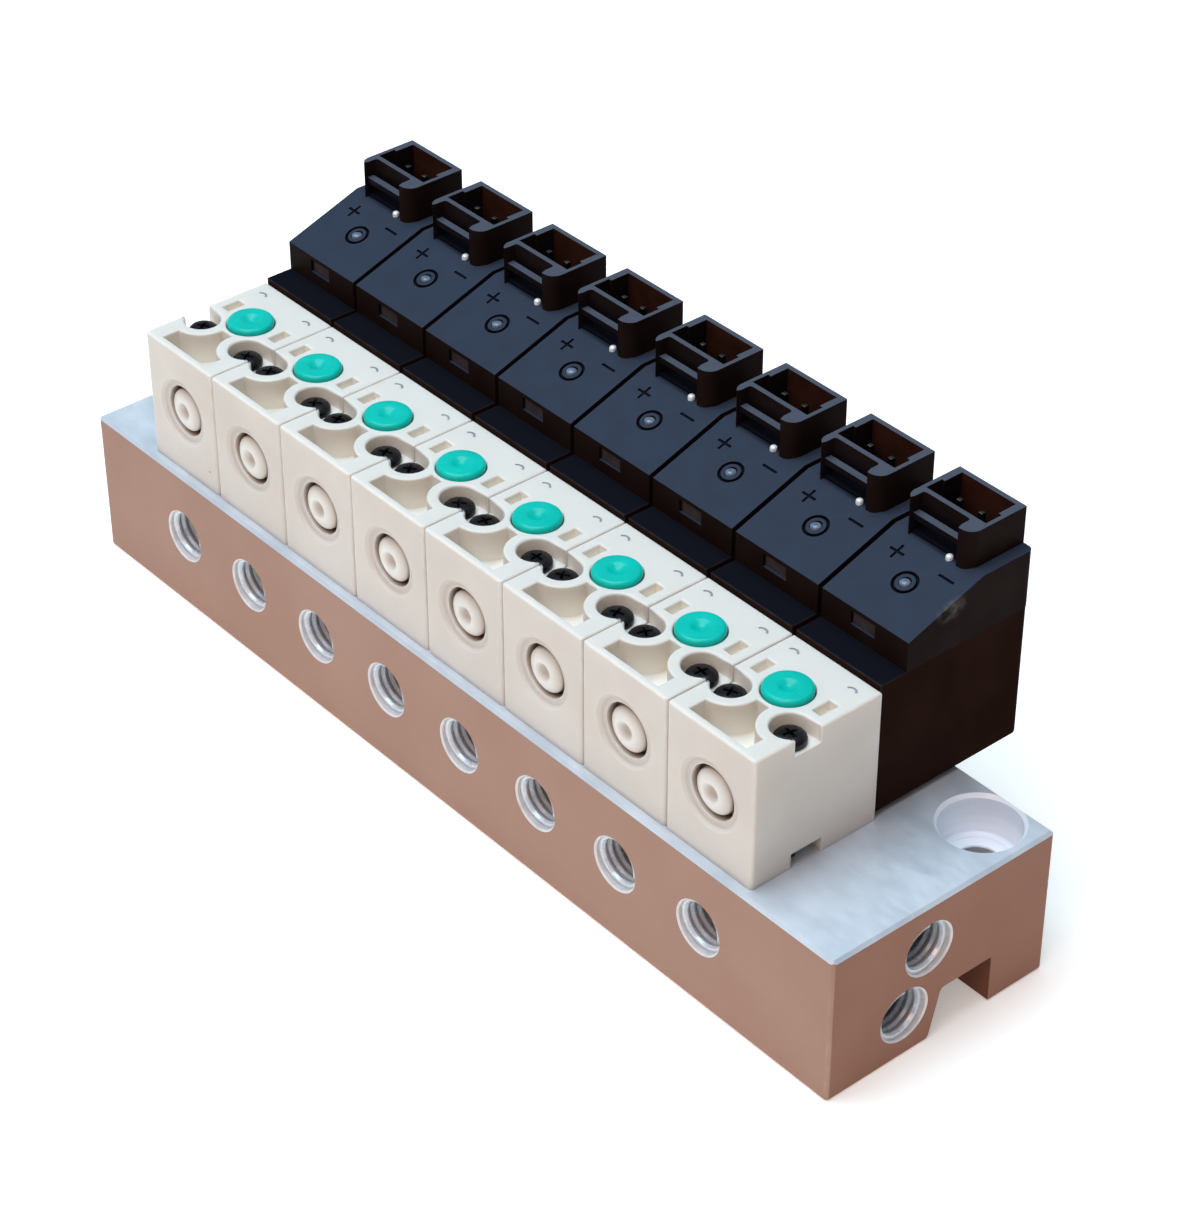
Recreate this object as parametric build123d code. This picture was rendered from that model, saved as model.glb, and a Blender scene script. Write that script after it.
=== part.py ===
from build123d import *
import os

# Pneumatic valve island: a row of small solenoid valves screwed to one drilled manifold base.
# Lengths are in millimetres. X runs along the row, the outlet ports face -Y, and Z points up
# from the plane on which the base rests. The origin lies under the middle of the whole part.

# Row of valves
VALVE_COUNT = 8
VALVE_PITCH = 10.5
LEFT_MARGIN = 8.5
RIGHT_MARGIN = 10.5
FRONT_SETBACK = 0.9
BODY_GAP = 0.1
COIL_GAP = 0.5

# Manifold base
BASE_DEPTH = 25.0
BASE_HEIGHT = 15.0
BASE_EDGE = 0.3
PORT_RADIUS = 2.1
OUTLET_HEIGHT = 8.1
OUTLET_DEPTH = 5.0
SUPPLY_BACK = 10.85
SUPPLY_HEIGHT = 10.3
EXHAUST_BACK = 8.45
EXHAUST_HEIGHT = 4.5
MOUNT_END = 4.7
MOUNT_REAR = 3.9
MOUNT_RADIUS = 1.65
COUNTERBORE_RADIUS = 3.6
COUNTERBORE_DEPTH = 4.0

# Channel along the underside of the base
CHANNEL_FRONT = 11.7
CHANNEL_LEAN = 0.8
CHANNEL_REAR = 18.45
CHANNEL_HEIGHT = 5.0
CHANNEL_ROUND = 0.8

# Gasket between the base and each valve body, with a window for each of its three passages
GASKET_FRONT = 1.2
GASKET_WIDTH = 3.6
GASKET_THICK = 0.8
GASKET_BAR = 0.8
WINDOW_COUNT = 3
WINDOW_WIDTH = 2.0
WINDOW_LENGTH = 2.2

# Valve body
BODY_DEPTH = 13.8
BODY_HEIGHT = 13.2
POCKET_WIDTH = 6.7
POCKET_DEPTH = 3.1
POCKET_WALL = 0.75
POCKET_REAR = 5.6
NOTCH_DEPTH = 2.8
NOTCH_FRONT = 4.3
NOTCH_WIDTH = 3.4
NOTCH_HEIGHT = 1.5
SLOT_OFFSET = 3.65
SLOT_BACK = 8.95
SLOT_WIDTH = 1.0
SLOT_LENGTH = 1.9
SLOT_DEPTH = 1.0

# Screws that hold a body to the base
SCREW_OFFSET = 3.5
SCREW_BACK = 5.3
SCREW_LENGTH = 16.0
SHANK_RADIUS = 0.85
SHANK_CLEARANCE = 0.1
HEAD_RADIUS = 1.5
HEAD_HEIGHT = 1.2
HEAD_CLEARANCE = 0.2
SEAT_DEPTH = 2.1
SEAT_WALL = 1.1
TAP_ALLOWANCE = 1.1

# Coil axis, front plug and armature
AXIS_HEIGHT = 7.05
PLUG_RADIUS = 2.3
PLUG_THICK = 1.4
PLUG_CLEARANCE = 0.3
PLUG_SINK = 0.1
CHAMBER_RADIUS = 2.05
CHAMBER_FRONT = 7.3
NOSE_RADIUS = 0.8
NOSE_LENGTH = 2.05
ARMATURE_RADIUS = 1.5
ARMATURE_LENGTH = 14.5
ARMATURE_STROKE = 0.6
SEAT_GAP = 0.05
COLLAR_RADIUS = 1.8
COLLAR_THICK = 0.8
RUNNING_CLEARANCE = 0.1
SPRING_WALL = 0.2

# Manual override button
BUTTON_BACK = 8.3
BUTTON_RADIUS = 2.2
BUTTON_RISE = 0.5
BUTTON_HEIGHT = 2.8
BUTTON_EDGE = 0.45
BUTTON_TRAVEL = 0.8
BUTTON_FLOOR = 0.6
STEM_RADIUS = 0.8
STEM_CLEARANCE = 0.15
STEM_GAP = 0.25
BUTTON_SPRING_RADIUS = 1.9

# Coil case
COIL_DEPTH = 16.9
CASE_LIFT = 0.5
CASE_HEIGHT = 13.2
CASE_WALL = 0.6
CASE_EDGE = 0.6
LEDGE_DEPTH = 2.8
BOARD_THICK = 0.8
BOARD_STEP = 0.2

# Coil inside the case
YOKE_THICK = 1.0
YOKE_WIDTH = 7.6
YOKE_HEIGHT = 10.4
FLANGE_THICK = 0.6
FLANGE_WIDTH = 8.2
TUBE_WALL = 0.4
SPIGOT_LENGTH = 1.2
WINDING_RADIUS = 3.5
FIT_CLEARANCE = 0.05
FORK_CLEARANCE = 0.35
POLE_GAP = 0.1

# Coil cover and its plug socket
COVER_STEP = 2.9
COVER_RISE = 5.7
SLOPE_REAR = 11.0
COVER_WALL = 0.6
TAB_WIDTH = 2.8
TAB_HEIGHT = 1.3
TAB_DEPTH = 0.3
TAB_DROP = 0.4
TAB_SIDE = -0.2
LENS_BACK = 7.0
LENS_SIDE = 0.2
LENS_RADIUS = 0.5
LENS_RISE = 0.2
SOCKET_FRONT = 10.5
SOCKET_WIDTH = 7.6
SOCKET_HEIGHT = 3.6
SOCKET_CORNER = 1.2
SOCKET_BACK_WALL = 0.5
SOCKET_SIDE_WALL = 0.4
SOCKET_RIB = 0.35
RIB_FRONT = 14.4
CAVITY_FRONT = 12.6
BAR_THICK = 0.5
LATCH_LEFT = 0.7
LATCH_RIGHT = 1.6
CATCH_FRONT = 10.9
CATCH_DEPTH = 0.9
CATCH_DROP = 1.6
CATCH_THICK = 0.6
PIN_SIZE = 0.5
PIN_SPACING = 2.5
PIN_BACK = 14.4
PIN_DROP = 0.8
PIN_CLEARANCE = 0.05

# Round forms that repeat at every valve are drawn with flats, which keeps the model light
ROUND_FLAT_COUNT = 12
SCREW_FLAT_COUNT = 12
HIDDEN_FLAT_COUNT = 6

# Places that follow from the sizes above
BASE_LENGTH = LEFT_MARGIN + VALVE_COUNT * VALVE_PITCH + RIGHT_MARGIN
BASE_LEFT = -BASE_LENGTH / 2
BASE_FRONT = -(FRONT_SETBACK + BODY_DEPTH + COIL_DEPTH) / 2
BASE_REAR = BASE_FRONT + BASE_DEPTH
BODY_FRONT = BASE_FRONT + FRONT_SETBACK
BODY_REAR = BODY_FRONT + BODY_DEPTH
BODY_WIDTH = VALVE_PITCH - BODY_GAP
BODY_TOP = BASE_HEIGHT + BODY_HEIGHT
AXIS_Z = BASE_HEIGHT + AXIS_HEIGHT
SEAT_Z = BODY_TOP - SEAT_DEPTH
GASKET_SPAN = (BASE_HEIGHT, BASE_HEIGHT + GASKET_THICK)
COIL_WIDTH = VALVE_PITCH - COIL_GAP
COIL_REAR = BODY_REAR + COIL_DEPTH
CASE_BOTTOM = BASE_HEIGHT + CASE_LIFT
CASE_TOP = CASE_BOTTOM + CASE_HEIGHT
COVER_TOP = CASE_TOP + COVER_RISE
RIM_Z = COVER_TOP + SOCKET_HEIGHT
SIDES = (-1, 1)

# Button, from the top of its dome down to the tip of its stem
BUTTON_TOP = BODY_TOP + BUTTON_RISE
BUTTON_BOTTOM = BUTTON_TOP - BUTTON_HEIGHT
BUTTON_SEAT = AXIS_Z + CHAMBER_RADIUS + BUTTON_FLOOR
STEM_TIP = AXIS_Z + NOSE_RADIUS + STEM_GAP + BUTTON_TRAVEL

# Coil, from the case's front wall to its rear wall
YOKE_FRONT = BODY_REAR + CASE_WALL
YOKE_REAR = COIL_REAR - CASE_WALL
BOBBIN_FRONT = YOKE_FRONT + YOKE_THICK
BOBBIN_REAR = YOKE_REAR - YOKE_THICK
TUBE_BORE = ARMATURE_RADIUS + RUNNING_CLEARANCE
TUBE_RADIUS = TUBE_BORE + TUBE_WALL
SPIGOT_FRONT = BODY_REAR - SPIGOT_LENGTH
ARMATURE_FRONT = BODY_FRONT + CHAMBER_FRONT + SEAT_GAP
COLLAR_FRONT = ARMATURE_FRONT + NOSE_LENGTH
COLLAR_REAR = COLLAR_FRONT + COLLAR_THICK
ARMATURE_REAR = ARMATURE_FRONT + ARMATURE_LENGTH
POLE_FRONT = ARMATURE_REAR + ARMATURE_STROKE + POLE_GAP
BOARD_Z = CASE_TOP - BOARD_THICK

# Directions
RIGHT = (1, 0, 0)
BACK = (0, 1, 0)
UP = (0, 0, 1)


def block(x, y, z):
    """Block between the low and high value of each axis."""
    spans = (x, y, z)
    centre = [(low + high) / 2 for low, high in spans]
    return Pos(*centre) * Box(*[high - low for low, high in spans])


def rod(start, along, radius, length):
    return extrude(Plane(start, z_dir=along) * Circle(radius), length)


def disc(radius, flats):
    """Round outline drawn with flats that touch the given radius."""
    return RegularPolygon(radius, flats, major_radius=False)


def flat_rod(start, along, radius, length, flats=HIDDEN_FLAT_COUNT):
    return extrude(Plane(start, z_dir=along) * disc(radius, flats), length)


def valve_x(index):
    return BASE_LEFT + LEFT_MARGIN + (index + 0.5) * VALVE_PITCH


def row(piece):
    """One copy of a piece at each valve."""
    return [Pos(valve_x(index), 0, 0) * piece for index in range(VALVE_COUNT)]


def base_section():
    """End view of the base: a bar with the channel open at its underside."""
    channel = make_face(
        Polyline(
            (BASE_FRONT + CHANNEL_FRONT, 0),
            (BASE_FRONT + CHANNEL_FRONT + CHANNEL_LEAN, CHANNEL_HEIGHT),
            (BASE_FRONT + CHANNEL_REAR, CHANNEL_HEIGHT),
            (BASE_FRONT + CHANNEL_REAR, 0),
            close=True,
        )
    )
    bar = Pos((BASE_FRONT + BASE_REAR) / 2, BASE_HEIGHT / 2) * Rectangle(BASE_DEPTH, BASE_HEIGHT)
    section = bar - channel
    foot_x = BASE_FRONT + CHANNEL_FRONT
    foot = section.vertices().sort_by_distance((foot_x, 0, 0))[0]
    section = fillet(foot, CHANNEL_ROUND)
    return section


def manifold_base():
    """Aluminium bar, drilled for the ports, galleries, passages and screws."""
    profile = Plane(origin=(BASE_LEFT, 0, 0), x_dir=BACK, z_dir=RIGHT) * base_section()
    base = extrude(profile, BASE_LENGTH)
    base = chamfer(base.faces().sort_by(Axis.Z)[-1].edges(), BASE_EDGE)

    supply = (BASE_FRONT + SUPPLY_BACK, SUPPLY_HEIGHT)
    exhaust = (BASE_FRONT + EXHAUST_BACK, EXHAUST_HEIGHT)
    for y, z in (supply, exhaust):
        base -= rod((BASE_LEFT, y, z), RIGHT, PORT_RADIUS, BASE_LENGTH)

    for side in SIDES:
        x = side * (BASE_LENGTH / 2 - MOUNT_END)
        y = BASE_REAR - MOUNT_REAR
        base -= rod((x, y, 0), UP, MOUNT_RADIUS, BASE_HEIGHT)
        base -= rod((x, y, BASE_HEIGHT - COUNTERBORE_DEPTH), UP, COUNTERBORE_RADIUS, COUNTERBORE_DEPTH)

    drillings = [rod((0, BASE_FRONT, OUTLET_HEIGHT), BACK, PORT_RADIUS, OUTLET_DEPTH)]
    tapped = SCREW_LENGTH - (SEAT_Z - BASE_HEIGHT) + TAP_ALLOWANCE
    for side in SIDES:
        place = (side * SCREW_OFFSET, BODY_FRONT + SCREW_BACK, BASE_HEIGHT - tapped)
        drillings.append(flat_rod(place, UP, SHANK_RADIUS + SHANK_CLEARANCE, tapped))
    for drilling in drillings:
        base -= row(drilling)
    return base


def top_cuts():
    """Everything sunk into the top of a valve body."""
    top = Plane.XY.offset(BODY_TOP)
    screws = [(side * SCREW_OFFSET, BODY_FRONT + SCREW_BACK) for side in SIDES]
    seat_radius = HEAD_RADIUS + HEAD_CLEARANCE

    pocket_front = BODY_FRONT + POCKET_WALL
    pocket_rear = BODY_FRONT + POCKET_REAR
    pocket = Pos(0, (pocket_front + pocket_rear) / 2) * Rectangle(POCKET_WIDTH, pocket_rear - pocket_front)
    for x, y in screws:
        pocket -= Pos(x, y) * disc(seat_radius + SEAT_WALL, SCREW_FLAT_COUNT)
    cuts = [extrude(top * pocket, -POCKET_DEPTH)]

    for side, (x, y) in zip(SIDES, screws):
        way_out = BODY_WIDTH / 2 - SCREW_OFFSET
        seat = Pos(x, y) * disc(seat_radius, SCREW_FLAT_COUNT)
        seat += Pos(x + side * way_out / 2, y) * Rectangle(way_out, 2 * seat_radius)
        cuts.append(extrude(top * seat, -SEAT_DEPTH))
        slot = Pos(side * SLOT_OFFSET, BODY_FRONT + SLOT_BACK) * Rectangle(SLOT_WIDTH, SLOT_LENGTH)
        cuts.append(extrude(top * slot, -SLOT_DEPTH))
    return cuts


def valve_body():
    """Moulded body: screw seats, button bore, plug bore and the armature's chamber."""
    half = BODY_WIDTH / 2
    body = block((-half, half), (BODY_FRONT, BODY_REAR), (BASE_HEIGHT, BODY_TOP))
    for cut in top_cuts():
        body -= cut

    # Screw holes and the notches beside them at the foot
    for side in SIDES:
        place = (side * SCREW_OFFSET, BODY_FRONT + SCREW_BACK, BASE_HEIGHT)
        body -= flat_rod(place, UP, SHANK_RADIUS + SHANK_CLEARANCE, SEAT_Z - BASE_HEIGHT)
        notch_x = sorted((side * half, side * (half - NOTCH_DEPTH)))
        notch_y = (BODY_FRONT + NOTCH_FRONT, BODY_FRONT + NOTCH_FRONT + NOTCH_WIDTH)
        body -= block(notch_x, notch_y, (BASE_HEIGHT, BASE_HEIGHT + NOTCH_HEIGHT))

    # Plug bore in front, and the chamber behind it for the front end of the armature
    plug_depth = PLUG_SINK + PLUG_THICK
    plug_bore = PLUG_RADIUS + PLUG_CLEARANCE
    body -= flat_rod((0, BODY_FRONT, AXIS_Z), BACK, plug_bore, plug_depth, ROUND_FLAT_COUNT)
    chamber_y = BODY_FRONT + CHAMBER_FRONT
    body -= flat_rod((0, chamber_y, AXIS_Z), BACK, CHAMBER_RADIUS, BODY_REAR - chamber_y)

    # Button bore and the hole for its stem
    button_y = BODY_FRONT + BUTTON_BACK
    bore_radius = BUTTON_RADIUS + RUNNING_CLEARANCE
    body -= flat_rod((0, button_y, BUTTON_SEAT), UP, bore_radius, BODY_TOP - BUTTON_SEAT, ROUND_FLAT_COUNT)
    body -= flat_rod((0, button_y, AXIS_Z), UP, STEM_RADIUS + STEM_CLEARANCE, BUTTON_SEAT - AXIS_Z)

    # Recess in which the gasket lies
    return body - gasket_plate()


def gasket_plate():
    """Outline of the gasket, which the recess under the body shares."""
    front = BODY_FRONT + GASKET_FRONT
    length = WINDOW_COUNT * (WINDOW_LENGTH + GASKET_BAR) + GASKET_BAR
    half = GASKET_WIDTH / 2
    return block((-half, half), (front, front + length), GASKET_SPAN)


def port_gasket():
    gasket = gasket_plate()
    half = WINDOW_WIDTH / 2
    for index in range(WINDOW_COUNT):
        front = BODY_FRONT + GASKET_FRONT + GASKET_BAR + index * (WINDOW_LENGTH + GASKET_BAR)
        gasket -= block((-half, half), (front, front + WINDOW_LENGTH), GASKET_SPAN)
    return gasket


def front_plug():
    return flat_rod((0, BODY_FRONT + PLUG_SINK, AXIS_Z), BACK, PLUG_RADIUS, PLUG_THICK, ROUND_FLAT_COUNT)


def body_screw():
    """Pan-head screw, drawn for the middle of a valve."""
    y = BODY_FRONT + SCREW_BACK
    head = flat_rod((0, y, SEAT_Z), UP, HEAD_RADIUS, HEAD_HEIGHT, SCREW_FLAT_COUNT)
    return head + flat_rod((0, y, SEAT_Z - SCREW_LENGTH), UP, SHANK_RADIUS, SCREW_LENGTH)


def override_button():
    """Push button whose stem reaches into the chamber in front of the armature."""
    y = BODY_FRONT + BUTTON_BACK
    cap = flat_rod((0, y, BUTTON_BOTTOM), UP, BUTTON_RADIUS, BUTTON_HEIGHT, ROUND_FLAT_COUNT)
    cap = chamfer(cap.faces().sort_by(Axis.Z)[-1].edges(), BUTTON_EDGE)
    return cap + flat_rod((0, y, STEM_TIP), UP, STEM_RADIUS, BUTTON_BOTTOM - STEM_TIP)


def spring_sleeve(start, along, radius, length):
    """Room that a coil spring takes up between its two seats."""
    return flat_rod(start, along, radius, length) - flat_rod(start, along, radius - SPRING_WALL, length)


def button_spring():
    seat = (0, BODY_FRONT + BUTTON_BACK, BUTTON_SEAT)
    return spring_sleeve(seat, UP, BUTTON_SPRING_RADIUS, BUTTON_BOTTOM - BUTTON_SEAT)


def armature():
    """Iron plunger with a collar for its spring and a sealing nose in front."""
    nose = flat_rod((0, ARMATURE_FRONT, AXIS_Z), BACK, NOSE_RADIUS, NOSE_LENGTH)
    collar = flat_rod((0, COLLAR_FRONT, AXIS_Z), BACK, COLLAR_RADIUS, COLLAR_THICK)
    shank = flat_rod((0, COLLAR_REAR, AXIS_Z), BACK, ARMATURE_RADIUS, ARMATURE_REAR - COLLAR_REAR)
    return nose + collar + shank


def armature_spring():
    seat = (0, COLLAR_REAR, AXIS_Z)
    radius = ARMATURE_RADIUS + FIT_CLEARANCE + SPRING_WALL
    return spring_sleeve(seat, BACK, radius, SPIGOT_FRONT - COLLAR_REAR)


def coil_case():
    """Open-topped box round the coil, with a step inside its rim for the board."""
    half = COIL_WIDTH / 2
    case = block((-half, half), (BODY_REAR, COIL_REAR), (CASE_BOTTOM, CASE_TOP))
    uprights = case.faces().sort_by(Axis.Y)[-1].edges().filter_by(Axis.Z)
    case = chamfer(uprights, CASE_EDGE)

    inner = half - CASE_WALL
    lower = inner - BOARD_STEP
    case -= block((-lower, lower), (YOKE_FRONT, YOKE_REAR), (CASE_BOTTOM + CASE_WALL, BOARD_Z))
    mouth = (BODY_REAR + LEDGE_DEPTH + COVER_WALL, YOKE_REAR)
    case -= block((-inner, inner), mouth, (BOARD_Z, CASE_TOP))
    case -= flat_rod((0, BODY_REAR, AXIS_Z), BACK, TUBE_RADIUS + FIT_CLEARANCE, CASE_WALL)
    return case


def yoke():
    """U-shaped strap under the bobbin, its ends forked round the tube and the pole piece."""
    half = YOKE_WIDTH / 2
    floor = CASE_BOTTOM + CASE_WALL
    top = floor + YOKE_HEIGHT
    strap = block((-half, half), (YOKE_FRONT, YOKE_REAR), (floor, top))
    strap -= block((-half, half), (BOBBIN_FRONT, BOBBIN_REAR), (floor + YOKE_THICK, top))
    fork = TUBE_RADIUS + FORK_CLEARANCE
    strap -= block((-fork, fork), (YOKE_FRONT, YOKE_REAR), (AXIS_Z - fork, top))
    return strap


def bobbin():
    """Tube with two flanges, and a nose that reaches into the valve body."""
    half = FLANGE_WIDTH / 2
    tall = (AXIS_Z - half, AXIS_Z + half)
    spool = flat_rod((0, SPIGOT_FRONT, AXIS_Z), BACK, TUBE_RADIUS, BOBBIN_REAR - SPIGOT_FRONT)
    for start in (BOBBIN_FRONT, BOBBIN_REAR - FLANGE_THICK):
        spool += block((-half, half), (start, start + FLANGE_THICK), tall)
    return spool - flat_rod((0, SPIGOT_FRONT, AXIS_Z), BACK, TUBE_BORE, BOBBIN_REAR - SPIGOT_FRONT)


def coil_winding():
    start = (0, BOBBIN_FRONT + FLANGE_THICK, AXIS_Z)
    length = BOBBIN_REAR - BOBBIN_FRONT - 2 * FLANGE_THICK
    return flat_rod(start, BACK, WINDING_RADIUS, length) - flat_rod(start, BACK, TUBE_RADIUS, length)


def pole_piece():
    return flat_rod((0, POLE_FRONT, AXIS_Z), BACK, ARMATURE_RADIUS, YOKE_REAR - POLE_FRONT)


def circuit_board():
    half = COIL_WIDTH / 2 - CASE_WALL - FIT_CLEARANCE
    span = (BODY_REAR + LEDGE_DEPTH + COVER_WALL + FIT_CLEARANCE, YOKE_REAR - FIT_CLEARANCE)
    return block((-half, half), span, (BOARD_Z, CASE_TOP))


def slope_z(back):
    """Height of the cover's slope at a distance behind the coil's front face."""
    step_top = CASE_TOP + COVER_STEP
    return step_top + (back - LEDGE_DEPTH) * (COVER_TOP - step_top) / (SLOPE_REAR - LEDGE_DEPTH)


def cover_prism(half, front, rear, bottom, sink):
    """Sloping solid as wide as twice the half width, its skin sunk by the given depth."""
    side = Polyline(
        (BODY_REAR + front, bottom),
        (BODY_REAR + front, slope_z(front) - sink),
        (BODY_REAR + SLOPE_REAR, COVER_TOP - sink),
        (BODY_REAR + rear, COVER_TOP - sink),
        (BODY_REAR + rear, bottom),
        close=True,
    )
    return extrude(Plane(origin=(-half, 0, 0), x_dir=BACK, z_dir=RIGHT) * make_face(side), 2 * half)


def socket_walls():
    """Plan of the plug socket: three walls, two ribs and the latch arms in front."""
    half = SOCKET_WIDTH / 2
    front = BODY_REAR + SOCKET_FRONT
    outline = Pos(0, (front + COIL_REAR) / 2) * Rectangle(SOCKET_WIDTH, COIL_REAR - front)
    outline = chamfer(outline.vertices().group_by(Axis.Y)[0], SOCKET_CORNER)

    cavity = BODY_REAR + CAVITY_FRONT
    rib = BODY_REAR + RIB_FRONT
    cavity_rear = COIL_REAR - SOCKET_BACK_WALL
    wide = SOCKET_WIDTH - 2 * SOCKET_SIDE_WALL
    outline -= Pos(0, (cavity + rib) / 2) * Rectangle(wide, rib - cavity)
    outline -= Pos(0, (rib + cavity_rear) / 2) * Rectangle(wide - 2 * SOCKET_RIB, cavity_rear - rib)

    pocket_rear = cavity - BAR_THICK
    left = LATCH_LEFT - half
    right = half - LATCH_RIGHT
    pocket = Rectangle(right - left, pocket_rear - front)
    return outline - Pos((left + right) / 2, (front + pocket_rear) / 2) * pocket


def coil_cover():
    """Sloping cover, hollow over the board, with the plug socket on its rear."""
    half = COIL_WIDTH / 2
    cover = cover_prism(half, LEDGE_DEPTH, COIL_DEPTH, CASE_TOP, 0)
    cover += extrude(Plane.XY.offset(CASE_TOP) * socket_walls(), RIM_Z - CASE_TOP)
    catch_x = (LATCH_LEFT - SOCKET_WIDTH / 2, SOCKET_WIDTH / 2 - LATCH_RIGHT)
    catch_y = (BODY_REAR + CATCH_FRONT, BODY_REAR + CATCH_FRONT + CATCH_DEPTH)
    cover += block(catch_x, catch_y, (RIM_Z - CATCH_DROP - CATCH_THICK, RIM_Z - CATCH_DROP))
    front = LEDGE_DEPTH + COVER_WALL
    rear = COIL_DEPTH - COVER_WALL
    cover -= cover_prism(half - COVER_WALL, front, rear, CASE_TOP, COVER_WALL)

    tab_x = (TAB_SIDE - TAB_WIDTH / 2, TAB_SIDE + TAB_WIDTH / 2)
    tab_top = CASE_TOP + COVER_STEP - TAB_DROP
    tab_y = (BODY_REAR + LEDGE_DEPTH, BODY_REAR + LEDGE_DEPTH + TAB_DEPTH)
    cover -= block(tab_x, tab_y, (tab_top - TAB_HEIGHT, tab_top))

    lens_at = (LENS_SIDE, BODY_REAR + LENS_BACK, CASE_TOP)
    cover -= flat_rod(lens_at, UP, LENS_RADIUS + FIT_CLEARANCE, COVER_RISE)
    slot_x = (PIN_SPACING + PIN_SIZE) / 2 + PIN_CLEARANCE
    slot_y = BODY_REAR + PIN_BACK
    reach = PIN_SIZE / 2 + PIN_CLEARANCE
    return cover - block((-slot_x, slot_x), (slot_y - reach, slot_y + reach), (CASE_TOP, COVER_TOP))


def indicator_lens():
    """Light guide from the board up through the cover's slope."""
    top = slope_z(LENS_BACK) + LENS_RISE
    return flat_rod((LENS_SIDE, BODY_REAR + LENS_BACK, CASE_TOP), UP, LENS_RADIUS, top - CASE_TOP)


def contact_pin():
    """Square post that stands on the board, drawn for the middle of a valve."""
    y = BODY_REAR + PIN_BACK
    reach = PIN_SIZE / 2
    return block((-reach, reach), (y - reach, y + reach), (CASE_TOP, RIM_Z - PIN_DROP))


def save(name, shape):
    export_step(shape, os.path.join("parts", name + ".step"))


def save_each(name, piece):
    for index, copy in enumerate(row(piece)):
        save(f"{name}_{index + 1}", copy)


def save_group(name, pieces):
    save(name, Compound(children=[copy for piece in pieces for copy in row(piece)]))


os.makedirs("parts", exist_ok=True)
save("manifold_base", manifold_base())
save_each("valve_body", valve_body())
save_each("coil_case", coil_case())
save_each("coil_cover", coil_cover())
save_each("override_button", override_button())
save_each("armature", armature())
save_group("body_screws", [Pos(side * SCREW_OFFSET, 0, 0) * body_screw() for side in SIDES])
save_group("front_plugs", [front_plug()])
save_group("port_gaskets", [port_gasket()])
save_group("button_springs", [button_spring()])
save_group("armature_springs", [armature_spring()])
save_group("yokes", [yoke()])
save_group("bobbins", [bobbin()])
save_group("coil_windings", [coil_winding()])
save_group("pole_pieces", [pole_piece()])
save_group("circuit_boards", [circuit_board()])
save_group("indicator_lenses", [indicator_lens()])
save_group("contact_pins", [Pos(side * PIN_SPACING / 2, 0, 0) * contact_pin() for side in SIDES])
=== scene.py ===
import math

import bmesh
import bpy
from mathutils import Matrix, Vector


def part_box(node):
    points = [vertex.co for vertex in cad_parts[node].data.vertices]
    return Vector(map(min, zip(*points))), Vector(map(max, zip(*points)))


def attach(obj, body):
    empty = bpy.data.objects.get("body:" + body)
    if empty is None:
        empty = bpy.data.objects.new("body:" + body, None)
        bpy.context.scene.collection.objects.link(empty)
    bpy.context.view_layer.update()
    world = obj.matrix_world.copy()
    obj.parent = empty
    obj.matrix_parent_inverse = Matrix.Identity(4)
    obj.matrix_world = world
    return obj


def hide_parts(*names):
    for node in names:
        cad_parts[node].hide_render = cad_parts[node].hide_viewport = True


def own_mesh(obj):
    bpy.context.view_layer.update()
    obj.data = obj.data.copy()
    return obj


# A row of eight small solenoid valves on one drilled base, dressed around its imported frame.
# Shapes are drawn in millimetres and brought to metres as they are finished. X runs along the
# row, the outlet ports face -Y and Z points up from the plane on which the base rests.
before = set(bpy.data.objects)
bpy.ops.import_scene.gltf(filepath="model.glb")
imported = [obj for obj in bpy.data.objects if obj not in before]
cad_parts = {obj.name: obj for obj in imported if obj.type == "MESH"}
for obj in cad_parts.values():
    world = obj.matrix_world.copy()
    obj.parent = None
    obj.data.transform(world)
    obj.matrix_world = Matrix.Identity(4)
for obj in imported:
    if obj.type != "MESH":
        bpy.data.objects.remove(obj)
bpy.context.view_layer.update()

# Manifold base
# One length of aluminium bar, milled, drilled and tapped, then anodised a satin rose brown.
# Its top was faced afterwards, so the top, its chamfer and every bore are bare metal. The
# ends are painted a deeper brown and the channel underneath a darker, duller one, as
# painted shade.


def span(node):
    """Lowest and highest corner of a node of the frame, in millimetres."""
    low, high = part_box(node)
    return low * 1000, high * 1000


def point_across(axis, across, height):
    """Point at a place across an axis, given in X, Y, Z order, and a height along it."""
    a, b = across
    return {"X": (height, a, b), "Y": (a, height, b), "Z": (a, b, height)}[axis]


def arc(centre, radius, start, end, steps):
    """Points along a round corner, from one angle to another in degrees."""
    angles = [math.radians(start + (end - start) * i / steps) for i in range(steps + 1)]
    return [(centre[0] + radius * math.cos(a), centre[1] + radius * math.sin(a)) for a in angles]


def prism(outline, axis, low, high, finish=0):
    """Solid with an outline drawn across an axis, pushed along it from low to high."""
    shape = bmesh.new()
    near = [shape.verts.new(point_across(axis, p, low)) for p in outline]
    far = [shape.verts.new(point_across(axis, p, high)) for p in outline]
    shape.faces.new(near)
    shape.faces.new(far)
    for i in range(len(near)):
        j = (i + 1) % len(near)
        shape.faces.new((near[i], near[j], far[j], far[i]))
    for face in shape.faces:
        face.material_index = finish
    bmesh.ops.recalc_face_normals(shape, faces=shape.faces)
    return shape


def slab(x, y, z, finish=0):
    """Block between the low and high value of each axis."""
    return prism([(x[0], y[0]), (x[1], y[0]), (x[1], y[1]), (x[0], y[1])], "Z", *z, finish)


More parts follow.
